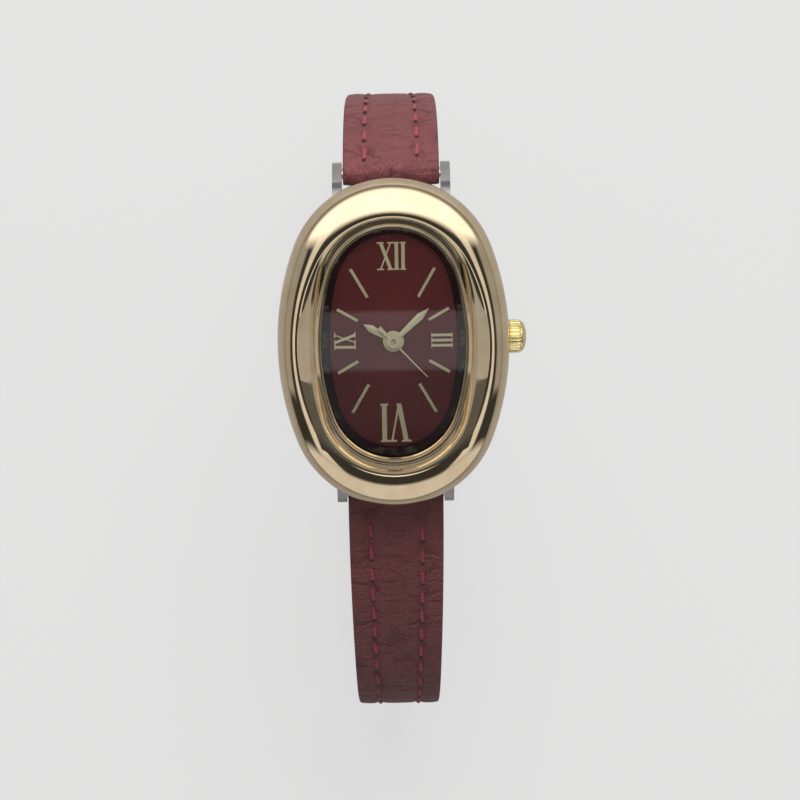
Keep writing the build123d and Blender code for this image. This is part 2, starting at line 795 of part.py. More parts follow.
def make_plates():
    """Main plate with its motion-work pocket, the train bridge on pillars, and the screws."""
    pillar_radius = screw_radius + 4 * fit
    pocket_radius = minute_wheel_radius * 2 + cannon_radius + 4 * fit
    pivots = [intermediate_place, third_place, rotor_place]
    with BuildPart() as main_plate:
        with BuildSketch(Plane.XY.offset(plate_bottom)):
            add(movement_face(0))
            Circle(cannon_radius + fit, mode=Mode.SUBTRACT)
            with Locations(*pivots, minute_wheel_place):
                Circle(arbor_radius + fit / 2, mode=Mode.SUBTRACT)
            with Locations(*screw_places):
                Circle(screw_radius, mode=Mode.SUBTRACT)
        extrude(amount=plate_thickness)
        with BuildSketch(Plane.XY.offset(pocket_floor)):
            Circle(pocket_radius)
        extrude(amount=plate_thickness, mode=Mode.SUBTRACT)
    finish(main_plate, "main_plate")

    battery_right = battery_x + battery_radius + 4 * fit
    battery_high = battery_y + battery_radius + 4 * fit
    coil_left = coil_x - coil_radius - 4 * fit
    low = -movement_half_height
    with BuildPart() as train_bridge:
        with BuildSketch(Plane.XY.offset(bridge_bottom)):
            add(movement_face(2 * fit))
            with Locations((-movement_half_width, low)):
                Rectangle(movement_half_width + battery_right, battery_high - low,
                          align=Align.MIN, mode=Mode.SUBTRACT)
            with Locations((coil_left, low)):
                Rectangle(movement_half_width - coil_left, battery_high - low,
                          align=Align.MIN, mode=Mode.SUBTRACT)
            with Locations(*pivots, (0, 0)):
                Circle(seconds_arbor_radius + fit / 2, mode=Mode.SUBTRACT)
        extrude(amount=bridge_thickness)
        with BuildSketch(Plane.XY.offset(bridge_top)):
            with Locations(*screw_places):
                Circle(pillar_radius)
        extrude(amount=plate_bottom - bridge_top)
        with Locations(*[Location((x, y, bridge_bottom), (180, 0, 0)) for x, y in screw_places]):
            CounterBoreHole(screw_radius, screw_head_radius + fit, screw_head_height,
                            depth=plate_bottom - bridge_bottom)
    finish(train_bridge, "train_bridge")

    with BuildPart() as bridge_screws:
        for x, y in screw_places:
            with BuildSketch(Plane.XY.offset(bridge_bottom)):
                with Locations((x, y)):
                    Circle(screw_head_radius)
            extrude(amount=screw_head_height)
            with BuildSketch(Plane.XY.offset(bridge_bottom)):
                with Locations((x, y)):
                    Circle(screw_radius)
            extrude(amount=plate_bottom + plate_thickness / 2 - bridge_bottom)
            with BuildSketch(Plane.XY.offset(bridge_bottom)):
                with Locations((x, y)):
                    Rectangle(2 * screw_head_radius, slot_width)
            extrude(amount=screw_head_height / 2, mode=Mode.SUBTRACT)
    finish(bridge_screws, "bridge_screws")


def make_electrics():
    """Battery with its clamp, circuit board and the quartz resonator in its can."""
    with BuildPart() as battery:
        with BuildSketch(Plane.XY.offset(bridge_bottom)):
            with Locations((battery_x, battery_y)):
                Circle(battery_radius)
        extrude(amount=battery_thickness)
        chamfer(battery.edges().sort_by(Axis.Z)[0], clamp_thickness)
    finish(battery, "battery")

    with BuildPart() as battery_clamp:
        with BuildSketch(Plane.XY.offset(movement_floor)):
            with BuildLine():
                Polyline((battery_x, battery_y), (battery_x, battery_y + battery_radius + screw_head_radius))
            trace(line_width=3 * screw_head_radius)
        extrude(amount=clamp_thickness)
    finish(battery_clamp, "battery_clamp")

    board_bottom = plate_bottom - fit - board_thickness
    board_low = third_place[1] + third_wheel_radius + wheel_gap
    board_high = movement_half_height - screw_head_radius
    board_middle = (board_low + board_high) / 2
    with BuildPart() as circuit_board:
        with BuildSketch(Plane.XY.offset(board_bottom)):
            with Locations((0, board_middle)):
                Rectangle(2 * movement_half_width - 2 * movement_corner, board_high - board_low)
        extrude(amount=board_thickness)
    finish(circuit_board, "circuit_board")

    can_height = board_bottom - resonator_radius - fit
    can_plane = Plane(origin=(-resonator_length / 2, board_middle, can_height), x_dir=(0, 1, 0),
                      z_dir=(1, 0, 0))
    make_rod(can_plane, resonator_radius, resonator_length, "quartz_resonator")


def make_holder():
    """Plastic ring that fills the case round the movement, with a way through for the stem."""
    with BuildPart() as movement_holder:
        with BuildSketch(Plane.XY.offset(movement_floor)):
            add(oval(grown(cavity_outline, -fit)))
            add(movement_face(-fit), mode=Mode.SUBTRACT)
        extrude(amount=movement_thickness)
        with BuildSketch(Plane.YZ):
            with Locations((0, stem_above_back)):
                Circle(stem_radius + 4 * fit)
        extrude(amount=bezel_half_width, mode=Mode.SUBTRACT)
    finish(movement_holder, "movement_holder")


# Strap routes, seen from the side: y, height and the angle turned below the outward horizontal
class Route:
    """A chain of tangent arcs and straights in the YZ plane, walked by length."""

    def __init__(self, end, angle):
        self.end = end
        self.spans = []
        self.total = 0
        self.place = (end * bar_from_centre, bar_height, radians(angle))

    def arc(self, radius, turn):
        self.add(radius * radians(turn), 1 / radius)

    def straight(self, length):
        self.add(length, 0)

    def add(self, length, bend):
        self.spans.append((self.total, self.place, bend))
        self.total += length
        self.place = self.walk(self.place, bend, length)

    def is_straight(self, length):
        return [bend for start, place, bend in self.spans if start <= length + fit][-1] == 0

    def walk(self, place, bend, length):
        y, z, angle = place
        turned = angle + bend * length
        if bend:
            out = (sin(turned) - sin(angle)) / bend
            down = (cos(angle) - cos(turned)) / bend
        else:
            out = length * cos(angle)
            down = length * sin(angle)
        return (y + self.end * out, z - down, turned)

    def at(self, length):
        start, place, bend = [span for span in self.spans if span[0] <= length][-1]
        return self.walk(place, bend, length - start)

    def plane(self, length, lift=0):
        """Plane across the strap: x over its width, y outwards, z along it."""
        y, z, angle = self.at(length)
        outward = (0, self.end * sin(angle), cos(angle))
        origin = (0, y + lift * outward[1], z + lift * outward[2])
        return Plane(origin=origin, x_dir=(-self.end, 0, 0), z_dir=(0, self.end * cos(angle), -sin(angle)))


upper_route = Route(1, upper_start_angle)
upper_route.arc(upper_first_radius, 90 - upper_start_angle)
upper_route.arc(upper_back_radius, upper_back_lean)
upper_route.arc(upper_corner_radius, 90 - upper_back_lean)
upper_route.straight(upper_flat_length)
strap_bottom, buckle_y = upper_route.place[1], upper_route.place[0]

# The tail runs below the other half, clear of it
tail_height = strap_bottom - strap_thickness / 2 - soft_gap - tail_thickness / 2 - pad_flat_rise
lower_route = Route(-1, lower_start_angle)
lower_route.arc(lower_first_radius, lower_first_end_angle - lower_start_angle)
lower_route.arc(lower_corner_radius, 90 - lower_first_end_angle)
slope_fall = tail_slope_length * sin(radians(tail_slope))
ease_fall = tail_ease_radius * (1 - cos(radians(tail_slope)))
fall_left = lower_route.place[1] - tail_height - slope_fall - ease_fall
lower_back_radius = fall_left / cos(radians(tail_slope))
lower_route.arc(lower_back_radius, 90 - tail_slope)
lower_route.straight(tail_slope_length)
lower_route.arc(tail_ease_radius, tail_slope)
lower_route.straight(tail_flat_length)


def strap_section(width, thickness, rise):
    """Flat lining, thin edges, stitched grooves and a padded crown between them."""
    half = width / 2
    low = -thickness / 2
    high = thickness / 2
    crown = half - stitch_from_edge
    with BuildSketch() as section:
        with BuildLine():
            Polyline((-crown, high), (strap_edge_round - half, high), (-half, high - strap_edge_round),
                     (-half, low), (half, low), (half, high - strap_edge_round),
                     (half - strap_edge_round, high), (crown, high))
            ThreePointArc((crown, high), (0, high + rise), (-crown, high))
        make_face()
    return section.sketch


def ramp(position, start, end):
    """A smooth step from nought to one between two places."""
    share = min(max((position - start) / (end - start), 0), 1)
    return share * share * (3 - 2 * share)


def strap_loft(route, taper_end, end_thickness, steps):
    """Lofts the tapered part through sections across the route."""
    with BuildPart() as taper:
        for step in range(steps + 1):
            length = taper_end * step / steps
            slim = ramp(length, 0, taper_end)
            width = strap_width + (strap_buckle_width - strap_width) * slim
            loss = (strap_lug_thickness - end_thickness) * ramp(length, 0, taper_end / 2)
            rise = pad_flat_rise + (pad_rise - pad_flat_rise) * (1 - slim)
            with BuildSketch(route.plane(length)):
                add(strap_section(width, strap_lug_thickness - loss, rise))
        loft(ruled=True)
    return taper.part


def strap_run(route, start, end, thickness):
    """Carries the slim section on along a straight or an arc."""
    first, middle, last = [(0, *route.at(length)[:2]) for length in (start, (start + end) / 2, end)]
    with BuildPart() as run:
        with BuildSketch(route.plane(start)):
            add(strap_section(strap_buckle_width, thickness, pad_flat_rise))
        with BuildLine():
            if route.is_straight(start):
                Line(first, last)
            else:
                ThreePointArc(first, middle, last)
        sweep()
    return run.part


def cross_rod(y, height, radius, width):
    """A round rod across the watch, for a strap's folded end or the hole in it."""
    with BuildPart() as rod:
        with BuildSketch(Plane.YZ.offset(-width / 2)):
            with Locations((y, height)):
                Circle(radius)
        extrude(amount=width)
    return rod.part


# Buckle layout: the frame leans down from its bar to rest level with the keepers
tail_outer = tail_height - tail_thickness / 2 - pad_flat_rise
base_height = tail_outer - soft_gap - keeper_thickness
buckle_fall = strap_bottom - base_height - buckle_wire / 2
buckle_angle = asin(buckle_fall / buckle_reach)
buckle_plane = Plane(origin=(0, buckle_y, strap_bottom), x_dir=(1, 0, 0),
                     z_dir=(0, sin(buckle_angle), -cos(buckle_angle)))
tongue_rise = (buckle_wire - tongue_thickness) / 2
tongue_angle = buckle_angle + atan2(tongue_rise, buckle_reach)
tongue_plane = Plane(origin=(0, buckle_y, strap_bottom), x_dir=(1, 0, 0),
                     z_dir=(0, sin(tongue_angle), -cos(tongue_angle)))
tail_ease_length = tail_ease_radius * radians(tail_slope)
slope_start = lower_route.total - tail_flat_length - tail_ease_length - tail_slope_length
slope_y, slope_z = lower_route.at(slope_start)[:2]
slope_rate = radians(tail_slope)
tongue_crossing = slope_start + (
    ((buckle_y - slope_y) * sin(tongue_angle) - (strap_bottom - slope_z) * cos(tongue_angle))
    / sin(slope_rate + tongue_angle))


def make_strap_upper():
    """The 12 o'clock half, which carries the buckle and the keepers."""
    flat_start = upper_route.total - upper_flat_length
    pieces = (strap_loft(upper_route, flat_start, strap_thickness, upper_strap_steps),
              strap_run(upper_route, flat_start, upper_route.total, strap_thickness),
              cross_rod(bar_from_centre, bar_height, strap_lug_thickness / 2, strap_width),
              cross_rod(buckle_y, strap_bottom, strap_thickness / 2, strap_buckle_width))
    holes = (cross_rod(bar_from_centre, bar_height, bar_radius + fit, 2 * strap_width),
             cross_rod(buckle_y, strap_bottom, buckle_bar_radius + fit, 2 * strap_width))
    with BuildPart() as strap_upper:
        for piece in pieces:
            add(piece)
        for hole in holes:
            add(hole, mode=Mode.SUBTRACT)
        # the slot for the tongue
        with BuildSketch(Plane.XY.offset(strap_bottom - strap_thickness)):
            with Locations((0, buckle_y)):
                Rectangle(tongue_width + 2 * soft_gap, 2 * strap_thickness)
        extrude(amount=2 * strap_thickness, mode=Mode.SUBTRACT)
    finish(strap_upper, "strap_upper")


def make_strap_lower():
    """The 6 o'clock half with its row of holes and its pointed tail."""
    end = lower_route.total
    ease_start = slope_start + tail_slope_length
    flat_start = end - tail_flat_length
    tip_y = lower_route.place[0]
    tip_length = strap_buckle_width * tail_point_share / 2
    pieces = (strap_loft(lower_route, slope_start, tail_thickness, lower_strap_steps),
              strap_run(lower_route, slope_start, ease_start, tail_thickness),
              strap_run(lower_route, ease_start, flat_start, tail_thickness),
              strap_run(lower_route, flat_start, end, tail_thickness),
              cross_rod(-bar_from_centre, bar_height, strap_lug_thickness / 2, strap_width))
    bar_hole = cross_rod(-bar_from_centre, bar_height, bar_radius + fit, 2 * strap_width)
    with BuildPart() as strap_lower:
        for piece in pieces:
            add(piece)
        add(bar_hole, mode=Mode.SUBTRACT)
        # the rounded point of the tail
        with BuildSketch(Plane.XY.offset(tail_height - tail_thickness)):
            with Locations((0, tip_y - tip_length)):
                Rectangle(2 * strap_buckle_width, tip_length + cut_overrun,
                          align=(Align.CENTER, Align.MIN))
                Ellipse(strap_buckle_width / 2, tip_length, mode=Mode.SUBTRACT)
        extrude(amount=2 * tail_thickness, mode=Mode.SUBTRACT)
        # the slanted way of the tongue, and the round holes before and after it
        with BuildSketch(tongue_plane):
            Rectangle(tongue_width + 2 * soft_gap, 2 * buckle_reach)
        extrude(amount=tongue_thickness / 2 + soft_gap, both=True, mode=Mode.SUBTRACT)
        for number in range(-strap_holes_before, strap_holes_after + 1):
            if number:
                across = lower_route.plane(tongue_crossing + number * strap_hole_pitch)
                with BuildSketch(Plane(origin=across.origin, x_dir=across.x_dir, z_dir=across.y_dir)):
                    Circle(strap_hole_radius)
                extrude(amount=tail_thickness, both=True, mode=Mode.SUBTRACT)
    finish(strap_lower, "strap_lower")


def make_buckle():
    """Pin buckle: a U frame on its bar, and the tongue that rests in the frame's notch."""
    inner = strap_buckle_width / 2 + soft_gap
    outer = inner + buckle_side_wire
    half_wire = buckle_wire / 2
    with BuildPart() as buckle_frame:
        with BuildSketch(buckle_plane):
            with BuildLine():
                FilletPolyline((-outer, 0), (-outer, buckle_reach + half_wire),
                               (outer, buckle_reach + half_wire), (outer, 0), radius=buckle_corner)
                Polyline((outer, 0), (outer, -half_wire), (-outer, -half_wire), (-outer, 0))
            make_face()
            with BuildLine():
                FilletPolyline((-inner, 0), (-inner, buckle_reach - half_wire),
                               (inner, buckle_reach - half_wire), (inner, 0), radius=buckle_corner / 2)
                Polyline((inner, 0), (inner, -cut_overrun), (-inner, -cut_overrun), (-inner, 0))
            make_face(mode=Mode.SUBTRACT)
        extrude(amount=half_wire, both=True)
        chamfer(buckle_frame.edges(), buckle_bevel)
        with BuildSketch(Plane.YZ.offset(-outer - cut_overrun)):
            with Locations((buckle_y, strap_bottom)):
                Circle(buckle_bar_radius)
        extrude(amount=2 * outer + 2 * cut_overrun, mode=Mode.SUBTRACT)
        with BuildSketch(buckle_plane.offset(half_wire - tongue_thickness - fit)):
            with Locations((0, buckle_reach)):
                Rectangle(tongue_width + 2 * fit, 2 * buckle_wire)
        extrude(amount=tongue_thickness + cut_overrun, mode=Mode.SUBTRACT)
    finish(buckle_frame, "buckle_frame")

    side_view = Plane(origin=(-tongue_width / 2, buckle_y, strap_bottom),
                      x_dir=(0, -cos(tongue_angle), -sin(tongue_angle)), z_dir=(1, 0, 0))
    with BuildPart() as buckle_tongue:
        with BuildSketch(side_view):
            Circle(buckle_bar_radius + tongue_thickness / 2)
            with Locations((buckle_reach / 2, 0)):
                Rectangle(buckle_reach, tongue_thickness)
            with Locations((buckle_reach, 0)):
                Circle(tongue_thickness / 2)
            Circle(buckle_bar_radius + running_fit, mode=Mode.SUBTRACT)
        extrude(amount=tongue_width)
    finish(buckle_tongue, "buckle_tongue")
    bar_plane = Plane(origin=(-outer, buckle_y, strap_bottom), x_dir=(0, 1, 0), z_dir=(1, 0, 0))
    make_rod(bar_plane, buckle_bar_radius - running_fit / 2, 2 * outer, "buckle_bar")


def make_keeper(label, middle_y):
    """A leather band round both halves of the strap."""
    width = strap_buckle_width + 2 * soft_gap
    low = tail_outer - soft_gap
    high = strap_bottom + strap_thickness / 2 + soft_gap
    middle = (low + high) / 2
    with BuildPart() as keeper:
        with BuildSketch(Plane.XZ.offset(-middle_y - keeper_length / 2)):
            with Locations((0, middle)):
                RectangleRounded(width + 2 * keeper_thickness, high - low + 2 * keeper_thickness,
                                 keeper_corner)
                Rectangle(width, high - low, mode=Mode.SUBTRACT)
        extrude(amount=keeper_length)
    finish(keeper, label)


def make_lug_bar(label, end):
    """Spring bar: a tube with a thinner pivot at each end."""
    long_half = lug_gap / 2 + bar_tip_length - fit
    with BuildPart() as lug_bar:
        for radius, half in ((bar_radius, lug_gap / 2 - fit), (bar_tip_radius, long_half)):
            with BuildSketch(Plane.YZ.offset(-half)):
                with Locations((end * bar_from_centre, bar_height)):
                    Circle(radius)
            extrude(amount=2 * half)
    finish(lug_bar, label)


make_bezel()
make_case_middle()
make_case_back()
make_glass()
make_rehaut()
make_dial()
make_batons()
make_numerals()
make_blade_hand("hour_hand", hour_hand_angle, hour_hand_bottom, hour_hand_length,
                hour_hub_radius, hour_pipe_radius)
make_blade_hand("minute_hand", minute_hand_angle, minute_hand_bottom, minute_hand_length,
                minute_hub_radius, cannon_radius)
make_seconds_hand()
make_crown()
make_train()
make_motor()
make_plates()
make_electrics()
make_holder()
make_strap_upper()
make_strap_lower()
make_buckle()
make_keeper("fixed_keeper", buckle_y + strap_thickness / 2 + fixed_keeper_gap + keeper_length / 2)
make_keeper("free_keeper", lower_route.place[0] - free_keeper_from_tip)
make_lug_bar("lug_bar_upper", 1)
make_lug_bar("lug_bar_lower", -1)
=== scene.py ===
import math

import bmesh
import bpy
from mathutils import Matrix, Vector, noise


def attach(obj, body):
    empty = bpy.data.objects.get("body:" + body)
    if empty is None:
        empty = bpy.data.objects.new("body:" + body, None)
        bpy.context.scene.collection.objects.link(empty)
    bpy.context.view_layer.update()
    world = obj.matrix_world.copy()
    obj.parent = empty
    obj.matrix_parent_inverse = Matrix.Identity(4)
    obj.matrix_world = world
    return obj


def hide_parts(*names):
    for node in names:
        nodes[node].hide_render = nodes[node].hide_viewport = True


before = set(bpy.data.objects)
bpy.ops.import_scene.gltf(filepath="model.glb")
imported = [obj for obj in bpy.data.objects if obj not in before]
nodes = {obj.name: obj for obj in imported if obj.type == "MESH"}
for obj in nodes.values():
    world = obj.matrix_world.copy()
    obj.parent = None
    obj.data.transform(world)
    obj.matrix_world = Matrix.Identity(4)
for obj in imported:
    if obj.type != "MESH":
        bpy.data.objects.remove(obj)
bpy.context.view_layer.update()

MM = 0.001


# Shader maths as plain arithmetic
class Wire:
    """One value inside a finish."""

    def __init__(self, finish, socket):
        self.finish = finish
        self.socket = socket

    def math(self, operation, *others):
        values = dict(enumerate((self, *others)))
        return self.finish.node("ShaderNodeMath", {"operation": operation}, values)

    def __add__(self, other):
        return self.math("ADD", other)

    def __sub__(self, other):
        return self.math("SUBTRACT", other)

    def __mul__(self, other):
        return self.math("MULTIPLY", other)

    def __rsub__(self, other):
        return self.finish.node("ShaderNodeMath", {"operation": "SUBTRACT"}, {0: other, 1: self})

    __radd__ = __add__
    __rmul__ = __mul__

    def held(self, low, high):
        """This value moved from low to high onto nought to one, and kept there."""
        sockets = {"Value": self, "From Min": low, "From Max": high}
        return self.finish.node("ShaderNodeMapRange", {"clamp": True}, sockets)


class Finish:
    """A surface finish: one shader with its numbers, and what varies over the surface."""

    def __init__(self, name, shader="ShaderNodeBsdfPrincipled", owner=None, **numbers):
        self.material = owner or bpy.data.materials.new(name)
        self.material.use_nodes = True
        self.tree = self.material.node_tree
        self.tree.nodes.clear()
        end = "ShaderNodeOutputWorld" if owner else "ShaderNodeOutputMaterial"
        self.shader = self.tree.nodes.new(shader)
        self.tree.links.new(self.shader.outputs[0], self.tree.nodes.new(end).inputs["Surface"])
        for socket, value in numbers.items():
            self.set(socket.replace("_", " "), value)

    def node(self, kind, settings=None, sockets=None, result=0):
        """Adds any node: its settings first, then its sockets, and returns one output."""
        node = self.tree.nodes.new(kind)
        for name, value in (settings or {}).items():
            setattr(node, name, value)
        for name, value in (sockets or {}).items():
            self.feed(node.inputs[name], value)
        return Wire(self, node.outputs[result])

    def parts(self, vector):
        """The three numbers of a vector."""
        split = self.node("ShaderNodeSeparateXYZ", {}, {0: vector})
        return [Wire(self, output) for output in split.socket.node.outputs]

    def feed(self, socket, value):
        if isinstance(value, Wire):
            self.tree.links.new(value.socket, socket)
        elif isinstance(value, tuple) and len(value) == 3 and socket.type == "RGBA":
            socket.default_value = (*value, 1)
        else:
            socket.default_value = value

    def set(self, socket, value):
        self.feed(self.shader.inputs[socket], value)
        return self

    def place(self, coordinates="Object", stretch=(1.0, 1.0, 1.0)):
        """Where the surface point is, in millimetres, stretched along each axis."""
        where = self.node("ShaderNodeTexCoord", result=coordinates)
        factors = tuple(share / MM for share in stretch)
        return self.node("ShaderNodeVectorMath", {"operation": "MULTIPLY"}, {0: where, 1: factors})

    def noise(self, place, scale, detail=3.0, roughness=0.5):
        sockets = {"Vector": place, "Scale": scale, "Detail": detail, "Roughness": roughness}
        return self.node("ShaderNodeTexNoise", {}, sockets)

    def cells(self, place, scale):
        """How far a point is from the nearest edge of a net of cells."""
        settings = {"feature": "DISTANCE_TO_EDGE"}
        return self.node("ShaderNodeTexVoronoi", settings, {"Vector": place, "Scale": scale})

    def blend(self, share, low, high):
        """A colour between two, by a share."""
        return self.node("ShaderNodeMix", {"data_type": "RGBA"}, {0: share, 6: low, 7: high}, result=2)

    def bump(self, height, strength, distance):
        sockets = {"Strength": strength, "Distance": distance, "Height": height}
        return self.node("ShaderNodeBump", {}, sockets)


def srgb(red, green, blue):
    """A colour read off in 0 to 255 as the shader's linear values."""
    return tuple(((v / 255 + 0.055) / 1.055) ** 2.4 if v > 10 else v / 3294.6 for v in (red, green, blue))


def shaded(colour, share):
    """A colour with only a share of its light."""
    return tuple(share * value for value in colour)


# Finishes. The height of the finest marks is one value for all of them.
MARK_HEIGHT = 0.02 * MM


def plated_metal(name, colour, deeper, roughness, metallic=1.0):
    """Polished plating: a little cloudiness in its polish and very fine wipe marks."""
    scuff = 0.04
    metal = Finish(name, Metallic=metallic)
    where = metal.place()
    cloud = metal.noise(where, 0.5)
    wipes = metal.noise(where, 9.0, detail=4.0, roughness=0.6)
    metal.set("Base Color", metal.blend(cloud.held(0.35, 0.7), colour, deeper))
    metal.set("Roughness", wipes * scuff + (roughness - scuff / 2))
    metal.set("Normal", metal.bump(wipes, 0.02, MARK_HEIGHT))
    return metal.material


def brushed_steel(name, colour, roughness, stretch):
    """Steel with straight brush marks."""
    scatter = 0.2
    steel = Finish(name, Metallic=1.0)
    marks = steel.noise(steel.place(stretch=stretch), 3.0, detail=4.0, roughness=0.65)
    steel.set("Base Color", steel.blend(marks, colour, shaded(colour, 0.8)))
    steel.set("Roughness", marks * scatter + (roughness - scatter / 2))
    steel.set("Normal", steel.bump(marks, 0.15, MARK_HEIGHT))
    return steel.material


def sunray_lacquer():
    """Burgundy dial lacquer over fine rays that run out from the centre, with a painted sheen that makes it
    lighter towards 12 and 6 o'clock.
    """
    ray_scale = 60.0
    dial = Finish("sunray_burgundy", Metallic=0.3, IOR=1.3)
    across, along = dial.parts(dial.place())[:2]
    turn = across.math("ARCTAN2", along)
    around = dial.node("ShaderNodeCombineXYZ", {}, {0: turn * ray_scale})
    rays = dial.noise(around, 1.0, detail=3.0, roughness=0.7)
    # Painted sheen: the colour is lighter towards 12 and 6 o'clock and darker towards 3 and 9, a reflection
    # painted into the lacquer; the rays are its own pattern.
    painted_sheen = (turn * 2.0).math("COSINE")
    rays_and_painted_sheen = painted_sheen * 0.25 + rays * 0.5 + 0.2
    dial.set("Base Color", dial.blend(rays_and_painted_sheen.held(0.0, 1.0), srgb(104, 42, 43), srgb(136, 60, 61)))
    dial.set("Roughness", rays * 0.15 + 0.28)
    dial.set("Normal", dial.bump(rays, 0.05, MARK_HEIGHT))
    return dial.material


def grained_leather(name, colour, dark, pale, coordinates="UV"):
    """Tumbled leather: fine pebbles, and a net of shallow creases that runs mostly across the strap; the
    colour darkens with painted shade in the creases and between the pebbles.
    """
    sway = 1.6
    crease_stretch = (0.4, 1.0, 1.0)
    relief = 0.35 * MM
    hide = Finish(name, IOR=1.45)
    where = hide.place(coordinates)
    aside = hide.noise(where, 0.9, detail=2.0) * sway
    ahead = hide.noise(where, 0.5, detail=2.0) * sway
    shift = hide.node("ShaderNodeCombineXYZ", {}, {0: aside, 1: ahead})
    bent = hide.node("ShaderNodeVectorMath", {"operation": "ADD"}, {0: where, 1: shift})
    wide = hide.node("ShaderNodeVectorMath", {"operation": "MULTIPLY"}, {0: bent, 1: crease_stretch})
    creases = hide.cells(wide, 0.62).held(0.0, 0.2)
    pebbles = hide.cells(bent, 2.0).held(-0.05, 0.3)
    depth = hide.noise(where, 0.35, detail=2.0).held(0.35, 0.65)
    grain = hide.noise(where, 5.0, roughness=0.6)
    height = (creases * depth + (1 - depth)) * 0.55 + pebbles * 0.3 + grain * 0.25
    mottle = hide.noise(where, 0.3)
    body = hide.blend(mottle.held(0.3, 0.7), colour, pale)
    # Painted shade: the colour goes to the dark shade where the relief is low, in the creases and between the
    # pebbles; the fine grain adds its own random tone.
    hide.set("Base Color", hide.blend(height.held(0.1, 0.7), dark, body))
    hide.set("Roughness", 0.58 - height * 0.12)
    hide.set("Normal", hide.bump(height, 0.7, relief))
    return hide.material


def sewing_thread(name, colour, dark):
    """Waxed twisted thread, mapped once round it and once along each stitch, with painted shade at both ends,
    where it dips into its holes, and in the grooves of its twist.
    """
    twists = 38.0
    lean = 6.3
    thread = Finish(name, Roughness=0.55)
    around, along = thread.parts(thread.node("ShaderNodeTexCoord", result="UV"))[:2]
    twist = (along * twists + around * lean).math("SINE")
    # Painted shade: the colour darkens towards both ends of each stitch, where it dips into its hole, and
    # along the grooves of the twist.
    lit = (1 - along.held(0.78, 0.84)) * along.held(0.04, 0.3)
    thread.set("Base Color", thread.blend(twist.held(-4.0, 1.0) * lit, dark, colour))
    thread.set("Normal", thread.bump(twist, 0.25, MARK_HEIGHT))
    return thread.material


def moulded(name, colour, roughness, gloss=1.5):
    """Plain moulded or lacquered surface with a faint texture."""
    scatter = 0.1
    skin = Finish(name, IOR=gloss)
    speck = skin.noise(skin.place(), 6.0)
    skin.set("Base Color", skin.blend(speck, colour, shaded(colour, 0.85)))
    skin.set("Roughness", speck * scatter + (roughness - scatter / 2))
    skin.set("Normal", skin.bump(speck, 0.1, MARK_HEIGHT))
    return skin.material


def wound_copper():
    """Fine copper turns side by side, with painted shade between the turns and a painted highlight along the
    middle of each.
    """
    turn_scale = 60.0
    relief = 0.03 * MM
    wire = Finish("wound_copper", Metallic=1.0)
    turns = (wire.parts(wire.place())[1] * turn_scale).math("SINE")
    # Painted shade and highlight: the colour is dark between the turns and light along the middle of each
    # turn.
    wire.set("Base Color", wire.blend(turns.held(-1.0, 1.0), srgb(120, 62, 34), srgb(214, 130, 82)))
    wire.set("Roughness", turns * 0.05 + 0.3)
    wire.set("Normal", wire.bump(turns, 0.4, relief))
    return wire.material


def clear_glass():
    """Flat glass: clear, with the mirror of its surface by angle."""
    glass = Finish("clear_glass", shader="ShaderNodeMixShader")
    clear = glass.node("ShaderNodeBsdfTransparent", {}, {"Color": (0.97, 0.98, 0.98)})
    smear = glass.noise(glass.place(), 0.4)
    mirror = glass.node("ShaderNodeBsdfPrincipled", {}, {
        "Base Color": (1.0, 1.0, 1.0), "Metallic": 1.0, "Roughness": smear * 0.01 + 0.002})
    angle = glass.node("ShaderNodeFresnel", {}, {"IOR": 1.5})
    glass.set(0, (angle * 1.15).held(0.0, 1.0)).set(1, clear).set(2, mirror)
    return glass.material


champagne_gold = plated_metal("champagne_gold", srgb(231, 212, 180), srgb(223, 200, 164), 0.07)
yellow_gold = plated_metal("yellow_gold", srgb(246, 230, 172), srgb(232, 208, 136), 0.2)
pale_gold = plated_metal("pale_gold", srgb(250, 240, 200), srgb(240, 226, 176), 0.45, metallic=0.2)
lug_steel = plated_metal("lug_steel", srgb(196, 190, 192), srgb(176, 170, 172), 0.12)
polished_steel = plated_metal("polished_steel", srgb(208, 206, 208), srgb(188, 184, 186), 0.1)
back_steel = brushed_steel("back_steel", srgb(190, 190, 194), 0.34, (0.2, 6.0, 1.0))
dull_steel = brushed_steel("dull_steel", srgb(176, 176, 180), 0.4, (3.0, 3.0, 0.3))
plate_brass = brushed_steel("plate_brass", srgb(206, 176, 110), 0.35, (0.3, 5.0, 1.0))
# Leather colours: the body, the painted shade for the creases and pebble hollows, and the lighter mottle.
leather_shades = (srgb(122, 67, 69), srgb(82, 40, 43), srgb(130, 75, 76))
strap_leather = grained_leather("burgundy_leather", *leather_shades)
keeper_leather = grained_leather("keeper_leather", *leather_shades, coordinates="Object")
# The second colour is the painted shade at the stitch ends and in the twist grooves.
burgundy_thread = sewing_thread("burgundy_thread", srgb(176, 84, 102), srgb(34, 12, 18))
black_gloss = moulded("black_ring", srgb(24, 23, 25), 0.22, gloss=2.2)
white_plastic = moulded("white_plastic", srgb(222, 220, 210), 0.45)
seal_rubber = moulded("seal_rubber", srgb(24, 24, 25), 0.6)
board_green = moulded("board_green", srgb(38, 92, 52), 0.35)
dial_lacquer = sunray_lacquer()
copper = wound_copper()
crystal_glass = clear_glass()

